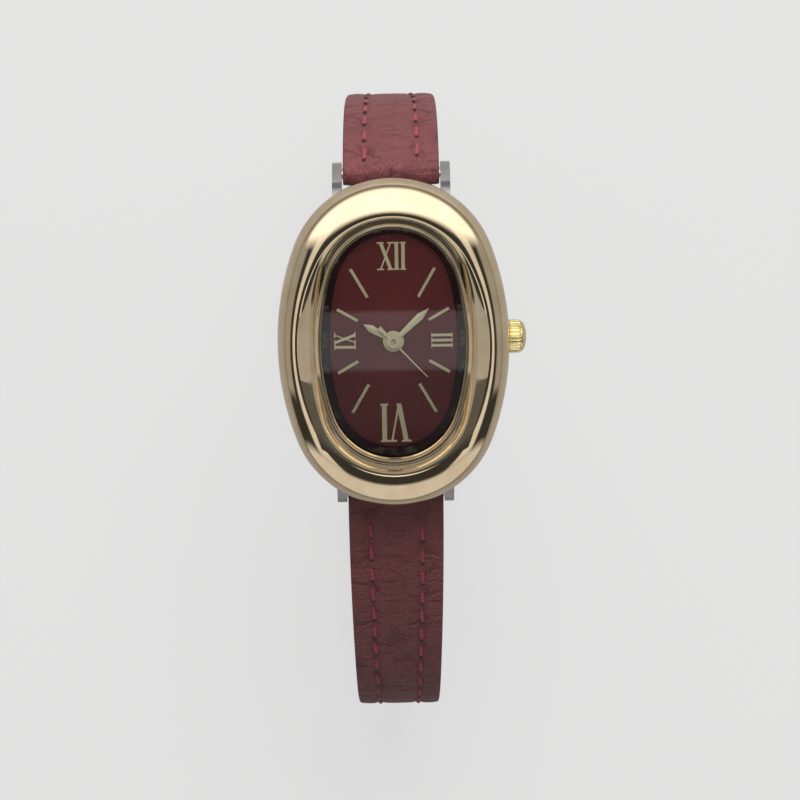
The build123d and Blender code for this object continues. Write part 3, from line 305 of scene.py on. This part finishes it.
nodes_by_finish = {
    champagne_gold: ["bezel", "buckle_frame", "buckle_tongue"],
    yellow_gold: ["crown"],
    pale_gold: ["hour_batons", "roman_numerals", "hour_hand", "minute_hand", "seconds_hand"],
    lug_steel: ["case_middle"],
    polished_steel: ["crown_tube", "winding_stem", "lug_bar_upper", "lug_bar_lower",
                     "buckle_bar", "bridge_screws", "battery_clamp", "quartz_resonator"],
    back_steel: ["case_back", "battery"],
    dull_steel: ["stator", "rotor"],
    crystal_glass: ["crystal"],
    dial_lacquer: ["dial"],
    black_gloss: ["rehaut_ring"],
    white_plastic: ["movement_holder", "seconds_wheel", "intermediate_wheel", "third_wheel",
                    "minute_wheel", "hour_wheel"],
    seal_rubber: ["crystal_gasket", "case_back_gasket", "crown_gasket"],
    plate_brass: ["main_plate", "train_bridge", "centre_wheel"],
    copper: ["motor_coil"],
    board_green: ["circuit_board"],
}
for material, names in nodes_by_finish.items():
    for name in names:
        piece = nodes[name]
        if not piece.data.materials:
            piece.data.materials.append(material)
        for place in piece.material_slots:
            place.material = material


# Strap routes, as the solids have them, in millimetres: each half starts at its lug bar
LUG_BAR_OUT = 17.1
LUG_BAR_HEIGHT = -1.2


class Route:
    """A chain of tangent arcs and straights, walked by length from the lug bar."""

    def __init__(self, end, dip):
        """The end is 1 for the 12 o'clock half and -1 for the other; the dip is in degrees below level."""
        self.end = end
        self.spans = []
        self.total = 0.0
        self.place = (end * LUG_BAR_OUT, LUG_BAR_HEIGHT, math.radians(dip))

    def arc(self, radius, turn):
        self.add(radius * math.radians(turn), 1 / radius)

    def straight(self, length):
        self.add(length, 0.0)

    def add(self, length, bend):
        self.spans.append((self.total, self.place, bend))
        self.total += length
        self.place = self.walk(self.place, bend, length)

    def walk(self, place, bend, length):
        y, z, angle = place
        turned = angle + bend * length
        if bend:
            out = (math.sin(turned) - math.sin(angle)) / bend
            down = (math.cos(angle) - math.cos(turned)) / bend
        else:
            out = length * math.cos(angle)
            down = length * math.sin(angle)
        return (y + self.end * out, z - down, turned)

    def at(self, length):
        start, place, bend = [span for span in self.spans if span[0] <= max(length, 0.0)][-1]
        return self.walk(place, bend, length - start)

    def point(self, across, length, lift):
        """A point in metres: across the strap, along it, and lifted off its middle."""
        y, z, angle = self.at(length)
        y += lift * self.end * math.sin(angle)
        z += lift * math.cos(angle)
        return Vector((across * MM, y * MM, z * MM))


# Leather sizes that the strap halves and the keepers share
WIDE = 10.15
SLIM = 8.0
THICK = 2.6
BUCKLE_END_THICK = 2.0
TAIL_THICK = 1.8
THIN_PAD = 0.08
FULL_PAD = 0.5
STITCH_INSET = 2.3
PLAY = 0.25
KEEPER_WALL = 0.8
KEEPER_LONG = 4.0

BUCKLE_FLAT = 21.3
TAIL_FLAT = 19.0
TAIL_DIP = 9.0
TAIL_SLOPE = 20.5
TAIL_EASE = 12.0
TAIL_POINT = 3.2

upper_route = Route(1, dip=46.0)
upper_route.arc(radius=20.0, turn=44.0)
upper_route.arc(radius=55.0, turn=20.0)
upper_route.arc(radius=9.0, turn=70.0)
upper_route.straight(BUCKLE_FLAT)
buckle_y, strap_bottom = upper_route.place[:2]
upper_taper = upper_route.total - BUCKLE_FLAT

# The tail lies under the buckle end, inside the keepers, and the keepers touch the table
tail_height = strap_bottom - BUCKLE_END_THICK / 2 - PLAY - TAIL_THICK / 2 - THIN_PAD
keeper_floor = tail_height - TAIL_THICK / 2 - THIN_PAD - PLAY
keeper_roof = strap_bottom + BUCKLE_END_THICK / 2 + PLAY
underside = keeper_floor - KEEPER_WALL

lower_route = Route(-1, dip=12.0)
lower_route.arc(radius=50.0, turn=28.0)
lower_route.arc(radius=16.0, turn=50.0)
tail_dip = math.radians(TAIL_DIP)
slope_drop = TAIL_SLOPE * math.sin(tail_dip) + TAIL_EASE * (1 - math.cos(tail_dip))
turn_drop = lower_route.place[1] - tail_height - slope_drop
lower_route.arc(radius=turn_drop / math.cos(tail_dip), turn=90.0 - TAIL_DIP)
slope_start = lower_route.total
lower_route.straight(TAIL_SLOPE)
lower_route.arc(radius=TAIL_EASE, turn=TAIL_DIP)
lower_route.straight(TAIL_FLAT)


def ease(position, end):
    """From nought at the start to one at the end, gently at both."""
    share = min(max(position / end, 0.0), 1.0)
    return share * share * (3 - 2 * share)


def strap_sizes(length, taper_end, end_thickness):
    """Width, thickness and pad height at a length."""
    thinned_share = 0.5
    pad_share = 0.45
    width = WIDE + (SLIM - WIDE) * ease(length, taper_end)
    thickness = THICK + (end_thickness - THICK) * ease(length, taper_end * thinned_share)
    pad = THIN_PAD + (FULL_PAD - THIN_PAD) * (1 - ease(length, taper_end * pad_share))
    return width, thickness, pad


def crown_of_strap(across, half, thickness, pad):
    """Height of the padded face at a place across the strap, with its stitched groove and rounded edge."""
    fullness = 0.6
    edge_bulge = 0.10
    groove_depth, groove_width = 0.16, 0.32
    corner = 0.22
    seam = half - STITCH_INSET
    beyond = abs(across) - seam
    if beyond < 0:
        padded = pad * (1 - (across / seam) ** 2) ** fullness
    else:
        padded = edge_bulge * math.sin(math.pi * min(beyond / STITCH_INSET, 1.0))
    groove = groove_depth * math.exp(-(beyond / groove_width) ** 2)
    inside = half - abs(across)
    drop = 0.0
    if inside <= corner:
        drop = corner - math.sqrt(max(corner**2 - (corner - inside) ** 2, 0.0))
    return thickness / 2 + padded - groove - drop


def stands_for(piece, node, body):
    """The piece takes the place of a plain solid and moves with its body."""
    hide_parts(node)
    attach(piece, body)
    return piece


def mesh_piece(name, points, faces, material, smooth=True):
    """A piece from points and faces, with every face turned outward."""
    mesh = bpy.data.meshes.new(name)
    mesh.from_pydata(points, [], faces)
    mesh.validate()
    work = bmesh.new()
    work.from_mesh(mesh)
    bmesh.ops.recalc_face_normals(work, faces=work.faces)
    work.to_mesh(mesh)
    work.free()
    mesh.polygons.foreach_set("use_smooth", [smooth] * len(mesh.polygons))
    mesh.materials.append(material)
    piece = bpy.data.objects.new(name, mesh)
    bpy.context.scene.collection.objects.link(piece)
    return piece


def tube_faces(rings, count, first=0, closed_path=False):
    """The faces of rings of points that follow one another, capped unless the path closes."""
    faces = []
    for i in range(rings if closed_path else rings - 1):
        here = first + i * count
        there = first + (i + 1) % rings * count
        for j in range(count):
            beside = (j + 1) % count
            faces.append((here + j, here + beside, there + beside, there + j))
    if not closed_path:
        faces.append(tuple(first + j for j in reversed(range(count))))
        faces.append(tuple(first + (rings - 1) * count + j for j in range(count)))
    return faces


def ring_mesh(name, rings, material, closed_path=False, smooth=True):
    """A mesh from closed rings of points, capped at the ends unless the path closes."""
    points = [point for ring in rings for point in ring]
    faces = tube_faces(len(rings), len(rings[0]), closed_path=closed_path)
    return mesh_piece(name, points, faces, material, smooth)


def map_piece(piece, layer_name, places):
    """Writes a place on a flat map for each point of the piece."""
    layer = piece.data.uv_layers.new(name=layer_name)
    for loop in piece.data.loops:
        layer.data[loop.index].uv = places[loop.vertex_index]


def rounding(past, reach, smallest):
    """The share of the full size that is left at a distance past the start of a rounded end."""
    return math.sqrt(max(1 - (past / reach) ** 2, smallest))


def strap_rings(route, taper_end, end_thickness, tip):
    """Closed rings of points along a strap half, with its rounded ends, and their places on the hide."""
    station = 0.3
    top_steps, lining_steps = 40, 10
    smallest_end, smallest_tip = 0.002, 0.0005
    wave_height, wave_fade = 0.035, 0.8
    waves_across, waves_along, wave_shift = 0.25, 0.8, 5.0
    lining_share, lining_round = 0.995, 0.12
    lining_map_shift = 200.0
    start_round = THICK / 2
    end_round = end_thickness / 2
    first = -start_round
    last = route.total + (0.0 if tip else end_round)
    stations = int((last - first) / station)
    rings = []
    places = []
    for i in range(stations + 1):
        length = first + (last - first) * i / stations
        width, thickness, pad = strap_sizes(min(max(length, 0), route.total), taper_end, end_thickness)
        closing = 1.0
        if length < 0:
            closing = rounding(length, start_round, smallest_end)
        if not tip and length > route.total:
            closing = rounding(length - route.total, end_round, smallest_end)
        half = width / 2
        if tip and length > route.total - tip:
            half *= rounding(length - route.total + tip, tip, smallest_tip)
        ring = []
        for j in range(top_steps + 1):
            across = -half * math.cos(math.pi * j / top_steps)
            lift = crown_of_strap(across, half, thickness, pad)
            wave_place = (across * waves_across, length * waves_along, route.end * wave_shift)
            fade = min(1.0, (half - abs(across)) / wave_fade)
            lift += wave_height * noise.noise(Vector(wave_place)) * fade
            ring.append(route.point(across, length, lift * closing))
            places.append((across * MM, length * MM))
        for j in range(lining_steps + 1):
            across = half * math.cos(math.pi * j / lining_steps)
            lift = (lining_round * (abs(across) / half) ** 8 - 0.5) * thickness
            ring.append(route.point(across * lining_share, length, lift * closing))
            places.append((across * MM, (length + lining_map_shift) * MM))
        rings.append(ring)
    return rings, places


def make_strap(name, route, taper_end, end_thickness, tip=0.0):
    """One leather half: padded face, lining and rounded ends."""
    rings, places = strap_rings(route, taper_end, end_thickness, tip)
    strap = ring_mesh(name + "_leather", rings, strap_leather)
    map_piece(strap, "leather", places)
    return stands_for(strap, name, "watch")


def make_stitches(name, route, taper_end, end_thickness, start, end):
    """Two rows of saddle stitches that dip into their holes, each a little aslant."""
    pitch, long, radius = 2.7, 2.6, 0.33
    row_shift = 0.5
    slant, proud, dip, steepness = 0.16, 0.05, 0.26, 5.0
    sides, steps = 8, 8
    sideways = Vector((1, 0, 0))
    points = []
    faces = []
    places = []
    for side in (-1, 1):
        for number in range(int((end - start) / pitch)):
            middle = start + (number + 0.5) * pitch + (row_shift if side > 0 else 0.0)
            faces += tube_faces(steps + 1, sides, first=len(points))
            for i in range(steps + 1):
                share = i / steps
                length = middle + (share - 0.5) * long
                width, thickness, pad = strap_sizes(length, taper_end, end_thickness)
                row = width / 2 - STITCH_INSET
                surface = crown_of_strap(row, width / 2, thickness, pad)
                near = share if route.end < 0 else 1 - share
                bow = min(1.0, steepness * min(near, 1 - near))
                lift = surface + proud - dip * (1 - bow)
                slim = radius * (0.8 + 0.2 * bow) * (0.5 + 0.5 * near)
                centre = route.point(side * row + slant * (share - 0.5), length, lift)
                out = (route.point(0, length, 1.0) - route.point(0, length, 0.0)).normalized()
                for j in range(sides):
                    turn = 2 * math.pi * j / sides
                    spoke = math.cos(turn) * sideways + math.sin(turn) * out
                    points.append(centre + slim * MM * spoke)
                    places.append((j / sides, near))
    stitches = mesh_piece(name, points, faces, burgundy_thread)
    map_piece(stitches, "thread", places)
    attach(stitches, "watch")
    return stitches


# Cutters for the strap
def cut_away(piece, cutters):
    """Cuts shapes out of a piece and removes them."""
    for cutter in cutters:
        cut = piece.modifiers.new("cut", "BOOLEAN")
        cut.operation = "DIFFERENCE"
        cut.object = cutter
        cut.solver = "EXACT"
    graph = bpy.context.evaluated_depsgraph_get()
    result = bpy.data.meshes.new_from_object(piece.evaluated_get(graph))
    piece.modifiers.clear()
    piece.data = result
    for cutter in cutters:
        bpy.data.objects.remove(cutter)


def rod_cutter(start, end, radius, sides=32):
    """A round rod from one point to another."""
    axis = (end - start).normalized()
    side = axis.cross(Vector((1, 0, 0))).normalized()
    other = axis.cross(side)
    turns = [2 * math.pi * k / sides for k in range(sides)]
    rings = []
    for centre in (start, end):
        rings.append([centre + radius * (math.cos(turn) * side + math.sin(turn) * other) for turn in turns])
    return ring_mesh("cutter", rings, strap_leather, smooth=False)


def box_cutter(centre, along, up, size):
    """A box with its length along one direction and its height along another."""
    side = along.cross(up).normalized()
    wide, long, high = (extent * MM / 2 for extent in size)
    corners = ((-1, -1), (1, -1), (1, 1), (-1, 1))
    rings = []
    for end in (-1, 1):
        rings.append([centre + end * along * long + i * side * wide + j * up * high for i, j in corners])
    return ring_mesh("cutter", rings, strap_leather, smooth=False)


# Half widths, half heights and end radii of the four-arc ovals
BEZEL_OVAL = (12.15, 17.4, 11.0)
CREST_OVAL = (10.1, 13.75, 8.9)
OPENING_OVAL = (7.55, 12.1, 6.7)


def grown(outline, distance):
    return tuple(size + distance for size in outline)


def between(outer, inner, share):
    return tuple(a + (b - a) * share for a, b in zip(outer, inner))


def oval_point(outline, turn):
    """The point of an oval whose outward direction is at an angle from +X."""
    half_width, half_height, end_radius = outline
    rise = half_height - end_radius
    side_radius = (half_width**2 + rise**2 - end_radius**2) / (2 * (half_width - end_radius))
    join = math.atan2(rise, side_radius - half_width)
    x, y = abs(math.cos(turn)), abs(math.sin(turn))
    if math.atan2(y, x) < join:
        place = (half_width - side_radius + side_radius * x, side_radius * y)
    else:
        place = (end_radius * x, rise + end_radius * y)
    return (math.copysign(place[0], math.cos(turn)), math.copysign(place[1], math.sin(turn)))


def ring_piece(name, profile, material, stations=288):
    """A closed section carried round the ovals; the section lists (oval, height) pairs."""
    rings = []
    for i in range(stations):
        turn = 2 * math.pi * (i + 0.5) / stations
        ring = []
        for outline, height in profile:
            x, y = oval_point(outline, turn)
            ring.append(Vector((x * MM, y * MM, height * MM)))
        rings.append(ring)
    return ring_mesh(name, rings, material, closed_path=True)


def make_bezel():
    """The domed ring: under side, dome, inner slope, thin lip, and its hidden seat."""
    widest, crest, lip_top, glass_top, bottom = 4.9, 7.7, 6.3, 5.75, 3.3
    foot, tuck, seat_depth = 0.95, 0.75, 0.85
    under_steps, dome_steps, slope_steps = 8, 28, 14
    hollow = 1.5
    lip_rounding = [(0.47, 0.05), (0.38, 0.03), (0.3, -0.08)]
    glass_rounding = [(0.06, 0.07), (0.0, 0.02), (0.0, 0.0)]
    lip = grown(OPENING_OVAL, 0.55)
    seat = grown(OPENING_OVAL, 0.975)
    collar = grown(seat, foot)
    profile = [(collar, bottom), (grown(BEZEL_OVAL, -foot), bottom)]
    for i in range(under_steps + 1):
        turn = math.pi / 2 * (1 - i / under_steps)
        inward = tuck * (1 - math.cos(turn))
        profile.append((grown(BEZEL_OVAL, -inward), widest - (widest - bottom) * math.sin(turn)))
    for i in range(1, dome_steps + 1):
        turn = math.pi / 2 * i / dome_steps
        outline = between(BEZEL_OVAL, CREST_OVAL, 1 - math.cos(turn))
        profile.append((outline, widest + (crest - widest) * math.sin(turn)))
    for i in range(1, slope_steps + 1):
        share = i / slope_steps
        profile.append((between(CREST_OVAL, lip, share), crest - (crest - lip_top) * share**hollow))
    profile += [(grown(OPENING_OVAL, out), lip_top + up) for out, up in lip_rounding]
    profile += [(grown(OPENING_OVAL, out), glass_top + up) for out, up in glass_rounding]
    profile += [(seat, glass_top), (seat, bottom + seat_depth), (collar, bottom + seat_depth)]
    bezel = ring_piece("bezel_ring", profile, champagne_gold)
    return stands_for(bezel, "bezel", "watch")


def make_crown():
    """Fluted crown: grooves that fade into a rounded shoulder, a domed end and a hollow root."""
    root, height = 12.05, 1.9
    radius, length, dome = 1.75, 1.3, 0.65
    stem_hole, hollow, floor, bevel = 0.45, 1.25, 0.9, 0.03
    shoulder, shoulder_rise, pole = radius - 0.16, 0.05, 0.012
    flutes, groove_depth = 27, 0.13
    dome_steps, steps_per_flute = 12, 12

    # Each place of the section: how far from the axis, how far along it, and its share of the groove
    profile = [(stem_hole, floor, 0), (hollow - bevel, floor, 0), (hollow, floor - bevel, 0)]
    profile += [(hollow, 0.0, 0), (radius - 0.15, 0.0, 0.3), (radius - 0.07, 0.04, 1)]
    profile += [(radius - bevel, 0.12, 1), (radius, 0.25, 1), (radius, 1.05, 1)]
    profile += [(radius - bevel, 1.2, 1), (radius - 0.09, length, 0.5), (shoulder, length + shoulder_rise, 0)]
    for i in range(1, dome_steps + 1):
        turn = math.pi / 2 * i / dome_steps
        rise = shoulder_rise + (dome - shoulder_rise) * math.sin(turn)
        profile.append((shoulder * math.cos(turn) + pole, length + rise, 0))
    profile += [(0.01, length + dome - 0.05, 0), (stem_hole, floor + 0.02, 0)]

    rings = []
    stations = flutes * steps_per_flute
    for i in range(stations):
        turn = 2 * math.pi * i / stations
        groove = groove_depth * max(math.cos(flutes * turn), 0.0) ** 2
        ring = []
        for reach, along, share in profile:
            reach -= groove * share
            y = reach * math.cos(turn)
            z = height + reach * math.sin(turn)
            ring.append(Vector(((root + along) * MM, y * MM, z * MM)))
        rings.append(ring)
    crown = ring_mesh("crown_fluted", rings, yellow_gold, closed_path=True)
    return stands_for(crown, "crown", "crown_and_stem")


def keeper_path():
    """Places round the keeper's middle line, each with its outward direction."""
    inner_wide, corner = 4.25, 0.5
    corner_steps, straight_steps = 8, 10
    half_wide = inner_wide + KEEPER_WALL / 2
    half_high = (keeper_roof - keeper_floor) / 2 + KEEPER_WALL / 2
    middle = (keeper_roof + keeper_floor) / 2
    spots = []
    for quarter in range(4):
        x_side = 1 if quarter in (0, 3) else -1
        z_side = 1 if quarter in (0, 1) else -1
        for i in range(corner_steps + 1):
            turn = math.radians(90 * quarter + 90 * i / corner_steps)
            out = (math.cos(turn), math.sin(turn))
            x = x_side * (half_wide - corner) + corner * out[0]
            z = middle + z_side * (half_high - corner) + corner * out[1]
            spots.append((x, z, out))
        turn = math.radians(90 * (quarter + 1))
        out = (math.cos(turn), math.sin(turn))
        reach = 2 * ((half_wide if quarter in (0, 2) else half_high) - corner)
        for i in range(1, straight_steps):
            gone = reach * i / straight_steps
            spots.append((x - out[1] * gone, z + out[0] * gone, out))
    return spots


def make_keeper(name, middle_y, node, body):
    """A leather band folded round the strap, with a creased line along each edge."""
    half, wall = KEEPER_LONG / 2, KEEPER_WALL / 2
    edge_in, corner, lining_corner = 0.06, 0.3, 0.08
    crease_depth, crease_place, crease_width = 0.09, 1.45, 0.13
    face_steps, lining_steps = 32, 8
    run = 2 * (half - edge_in)
    section = []
    for i in range(face_steps + 1):
        along = run * i / face_steps - run / 2
        crease = crease_depth * math.exp(-((abs(along) - crease_place) / crease_width) ** 2)
        short = corner - min(half - abs(along), corner)
        section.append((along, wall - corner + math.sqrt(corner**2 - short**2) - crease))
    for i in range(lining_steps + 1):
        along = run / 2 - run * i / lining_steps
        section.append((along, -wall + (lining_corner if i in (0, lining_steps) else 0.0)))
    rings = []
    for x, z, out in keeper_path():
        ring = []
        for along, lift in section:
            y = middle_y + along
            ring.append(Vector(((x + lift * out[0]) * MM, y * MM, (z + lift * out[1]) * MM)))
        rings.append(ring)
    keeper = ring_mesh(name, rings, keeper_leather, closed_path=True)
    return stands_for(keeper, node, body)


# The tongue leans from the bar at the strap's end down to the low end of the buckle frame
FRAME_REACH = 7.6
FRAME_THICK = 0.8
TONGUE_DROP = 0.4
frame_tilt = math.asin((strap_bottom - underside - FRAME_THICK) / FRAME_REACH)
tilt = frame_tilt + math.atan2(TONGUE_DROP, FRAME_REACH)
tongue_line = Vector((0, -math.cos(tilt), -math.sin(tilt)))
bar_place = Vector((0, buckle_y * MM, strap_bottom * MM))

# The half that carries the buckle, with its slot for the tongue
SLOT_WIDE = 1.8
BUCKLE_SLOT = (SLOT_WIDE, 4.0, 4.0)
upper_leather = make_strap("strap_upper", upper_route, upper_taper, BUCKLE_END_THICK)
cut_away(upper_leather, [box_cutter(bar_place, Vector((0, 1, 0)), Vector((0, 0, 1)), BUCKLE_SLOT)])

# The half with the holes and the pointed tail; the holes are counted from the one that the tongue is in
TONGUE_SLOT = (SLOT_WIDE, 12.0, 1.3)
TONGUE_SLOT_OUT = 6.0
HOLE_PITCH = 6.0
HOLE_RADIUS = 0.75
HOLE_REACH = 1.6
lower_leather = make_strap("strap_lower", lower_route, slope_start, TAIL_THICK, TAIL_POINT)
slope_y, slope_z = lower_route.at(slope_start)[:2]
lead = (buckle_y - slope_y) * math.sin(tilt) - (strap_bottom - slope_z) * math.cos(tilt)
crossing = slope_start + lead / math.sin(tail_dip + tilt)
slot_middle = bar_place + tongue_line * TONGUE_SLOT_OUT * MM
cutters = [box_cutter(slot_middle, tongue_line, Vector((1, 0, 0)).cross(tongue_line), TONGUE_SLOT)]
for number in (-3, -2, -1, 1):
    length = crossing + number * HOLE_PITCH
    hole_ends = [lower_route.point(0, length, lift) for lift in (-HOLE_REACH, HOLE_REACH)]
    cutters.append(rod_cutter(*hole_ends, HOLE_RADIUS * MM))
cut_away(lower_leather, cutters)

make_stitches("upper_stitching", upper_route, upper_taper, BUCKLE_END_THICK, start=0.4, end=45.0)
make_stitches("lower_stitching", lower_route, slope_start, TAIL_THICK, start=2.6, end=61.0)
make_bezel()
make_crown()

FIXED_KEEPER_GAP = 1.6
FREE_KEEPER_BACK = 4.7
fixed_keeper_y = buckle_y + BUCKLE_END_THICK / 2 + FIXED_KEEPER_GAP + KEEPER_LONG / 2
free_keeper_y = lower_route.place[0] - FREE_KEEPER_BACK
make_keeper("fixed_keeper_band", fixed_keeper_y, "fixed_keeper", "watch")
make_keeper("free_keeper_band", free_keeper_y, "free_keeper", "sliding_keeper")


# Table, card, backdrop, lamp and camera
def level_card(name, half_wide, near, far, height, finish):
    """A level rectangle of the setting, in millimetres."""
    outline = ((-half_wide, near), (half_wide, near), (half_wide, far), (-half_wide, far))
    corners = [(x * MM, y * MM, height * MM) for x, y in outline]
    mesh = bpy.data.meshes.new(name)
    mesh.from_pydata(corners, [], [(0, 1, 2, 3)])
    mesh.materials.append(finish.material)
    card = bpy.data.objects.new(name, mesh)
    bpy.context.scene.collection.objects.link(card)
    return card


def make_table():
    """A pale table top under the watch that keeps its shadow."""
    half, clearance = 4000.0, 0.02
    lift = 0.7
    pale = Finish("pale_table", "ShaderNodeMixShader")
    grain = pale.noise(pale.place(), 0.02)
    matt = pale.node("ShaderNodeBsdfPrincipled", {}, {
        "Base Color": pale.blend(grain, srgb(198, 197, 196), srgb(204, 203, 202)), "Roughness": 0.9,
        "Normal": pale.bump(grain, 0.05, 0.1 * MM)})
    lit = pale.node("ShaderNodeEmission", {}, {"Color": srgb(245, 245, 245), "Strength": 1.0})
    direct = pale.node("ShaderNodeLightPath", result="Is Camera Ray")
    through_glass = pale.node("ShaderNodeLightPath", result="Is Transmission Ray")
    pale.set(0, (direct + through_glass) * lift).set(1, matt).set(2, lit)
    table = level_card("table", half, -half, half, underside - clearance, pale)


def make_flag():
    """A small grey card close above the lower dial, seen only by what mirrors; its top half is lighter."""
    half, low, high, level = 9.0, -12.3, 2.6, 10.4
    finish = Finish("grey_card", "ShaderNodeEmission")
    along = finish.parts(finish.place())[1]
    foot = along.held(low, -9.0) * 0.09
    top_half = along.held(-3.72, -3.66) * (0.38 - along.held(-3.7, high) * 0.08)
    finish.set("Strength", 0.04 + foot + top_half)
    flag = level_card("flag", half, low, high, level, finish)
    for rays in ("camera", "diffuse", "transmission", "shadow", "volume_scatter"):
        setattr(flag, "visible_" + rays, False)


def make_world():
    """Even light for soft surfaces, and a studio for what mirrors: a bright panel, dark gaps and sides."""
    bpy.context.scene.world = bpy.data.worlds.new("studio")
    studio = Finish("studio", "ShaderNodeMixShader", bpy.context.scene.world)
    across, along, upward = studio.parts(studio.node("ShaderNodeTexCoord"))
    side = across.math("ABSOLUTE")
    panel = (along - side * 0.4).held(-0.04, 0.12)
    strips = side.held(0.24, 0.28) * (1 - side.held(0.5, 0.58)) * along.held(-0.62, -0.5)
    walls = side.held(0.74, 0.82) * along.held(-0.37, -0.33) * 0.36
    lower = (along * -1.0).held(0.53, 0.63) * 0.72
    dark = strips * 0.8 + walls + lower + 0.045
    horizon = upward.held(0.12, 0.34)
    mirrored = panel * (horizon * 1.4 + 0.3) + (1 - panel) * dark
    even = along * 0.4 + 0.33
    plain = studio.node("ShaderNodeBackground", {}, {"Color": srgb(238, 237, 236), "Strength": even})
    mirror = studio.node("ShaderNodeBackground", {}, {"Color": (1.0, 0.99, 0.975), "Strength": mirrored})
    backdrop = studio.node("ShaderNodeBackground", {}, {"Color": srgb(230, 229, 228), "Strength": 1.0})
    direct = studio.node("ShaderNodeLightPath", result="Is Camera Ray")
    glossy = studio.node("ShaderNodeLightPath", result="Is Glossy Ray")
    light = studio.node("ShaderNodeMixShader", {}, {0: glossy, 1: plain, 2: mirror})
    studio.set(0, direct).set(1, light).set(2, backdrop)


def make_lamp():
    """A square lamp behind and above the 12 o'clock side that gives the soft shadow."""
    place = Vector((0.05, 0.5, 0.5))
    data = bpy.data.lights.new("panel_lamp", "AREA")
    data.shape = "RECTANGLE"
    data.size = 0.45
    data.size_y = 0.45
    data.energy = 4.2
    lamp = bpy.data.objects.new("panel_lamp", data)
    bpy.context.scene.collection.objects.link(lamp)
    lamp.location = place
    lamp.rotation_euler = (-place).to_track_quat("-Z", "Y").to_euler()
    lamp.visible_glossy = False


def make_camera():
    """Above the dial, leaned ten degrees towards 12 o'clock, far off with a long lens."""
    lean, roll = math.radians(10.0), math.radians(0.87)
    distance = 450.0
    bezel_height = 4.9
    picture_pixels = 800
    pixels_per_mm = 9.54
    watch_pixel_x, watch_pixel_y = 393.5, 342.5
    sensor = 36.0
    back = Vector((0, math.sin(lean), math.cos(lean)))
    level_up = Vector((0, math.cos(lean), -math.sin(lean)))
    right = Vector((1, 0, 0)) * math.cos(roll) - level_up * math.sin(roll)
    up = back.cross(right)
    right_shift = (picture_pixels / 2 - watch_pixel_x) / pixels_per_mm
    down_shift = (picture_pixels / 2 - watch_pixel_y) / pixels_per_mm
    aim = Vector((0, 0, bezel_height)) + right * right_shift - up * down_shift
    data = bpy.data.cameras.new("camera")
    data.sensor_width = sensor
    data.lens = sensor * distance / (picture_pixels / pixels_per_mm)
    data.clip_start = 0.01
    data.clip_end = 20.0
    camera = bpy.data.objects.new("camera", data)
    bpy.context.scene.collection.objects.link(camera)
    camera.matrix_world = Matrix((right, up, back)).transposed().to_4x4()
    camera.location = (aim + back * distance) * MM
    bpy.context.scene.camera = camera


make_table()
make_flag()
make_world()
make_lamp()
make_camera()
bpy.context.scene.view_settings.view_transform = "Standard"
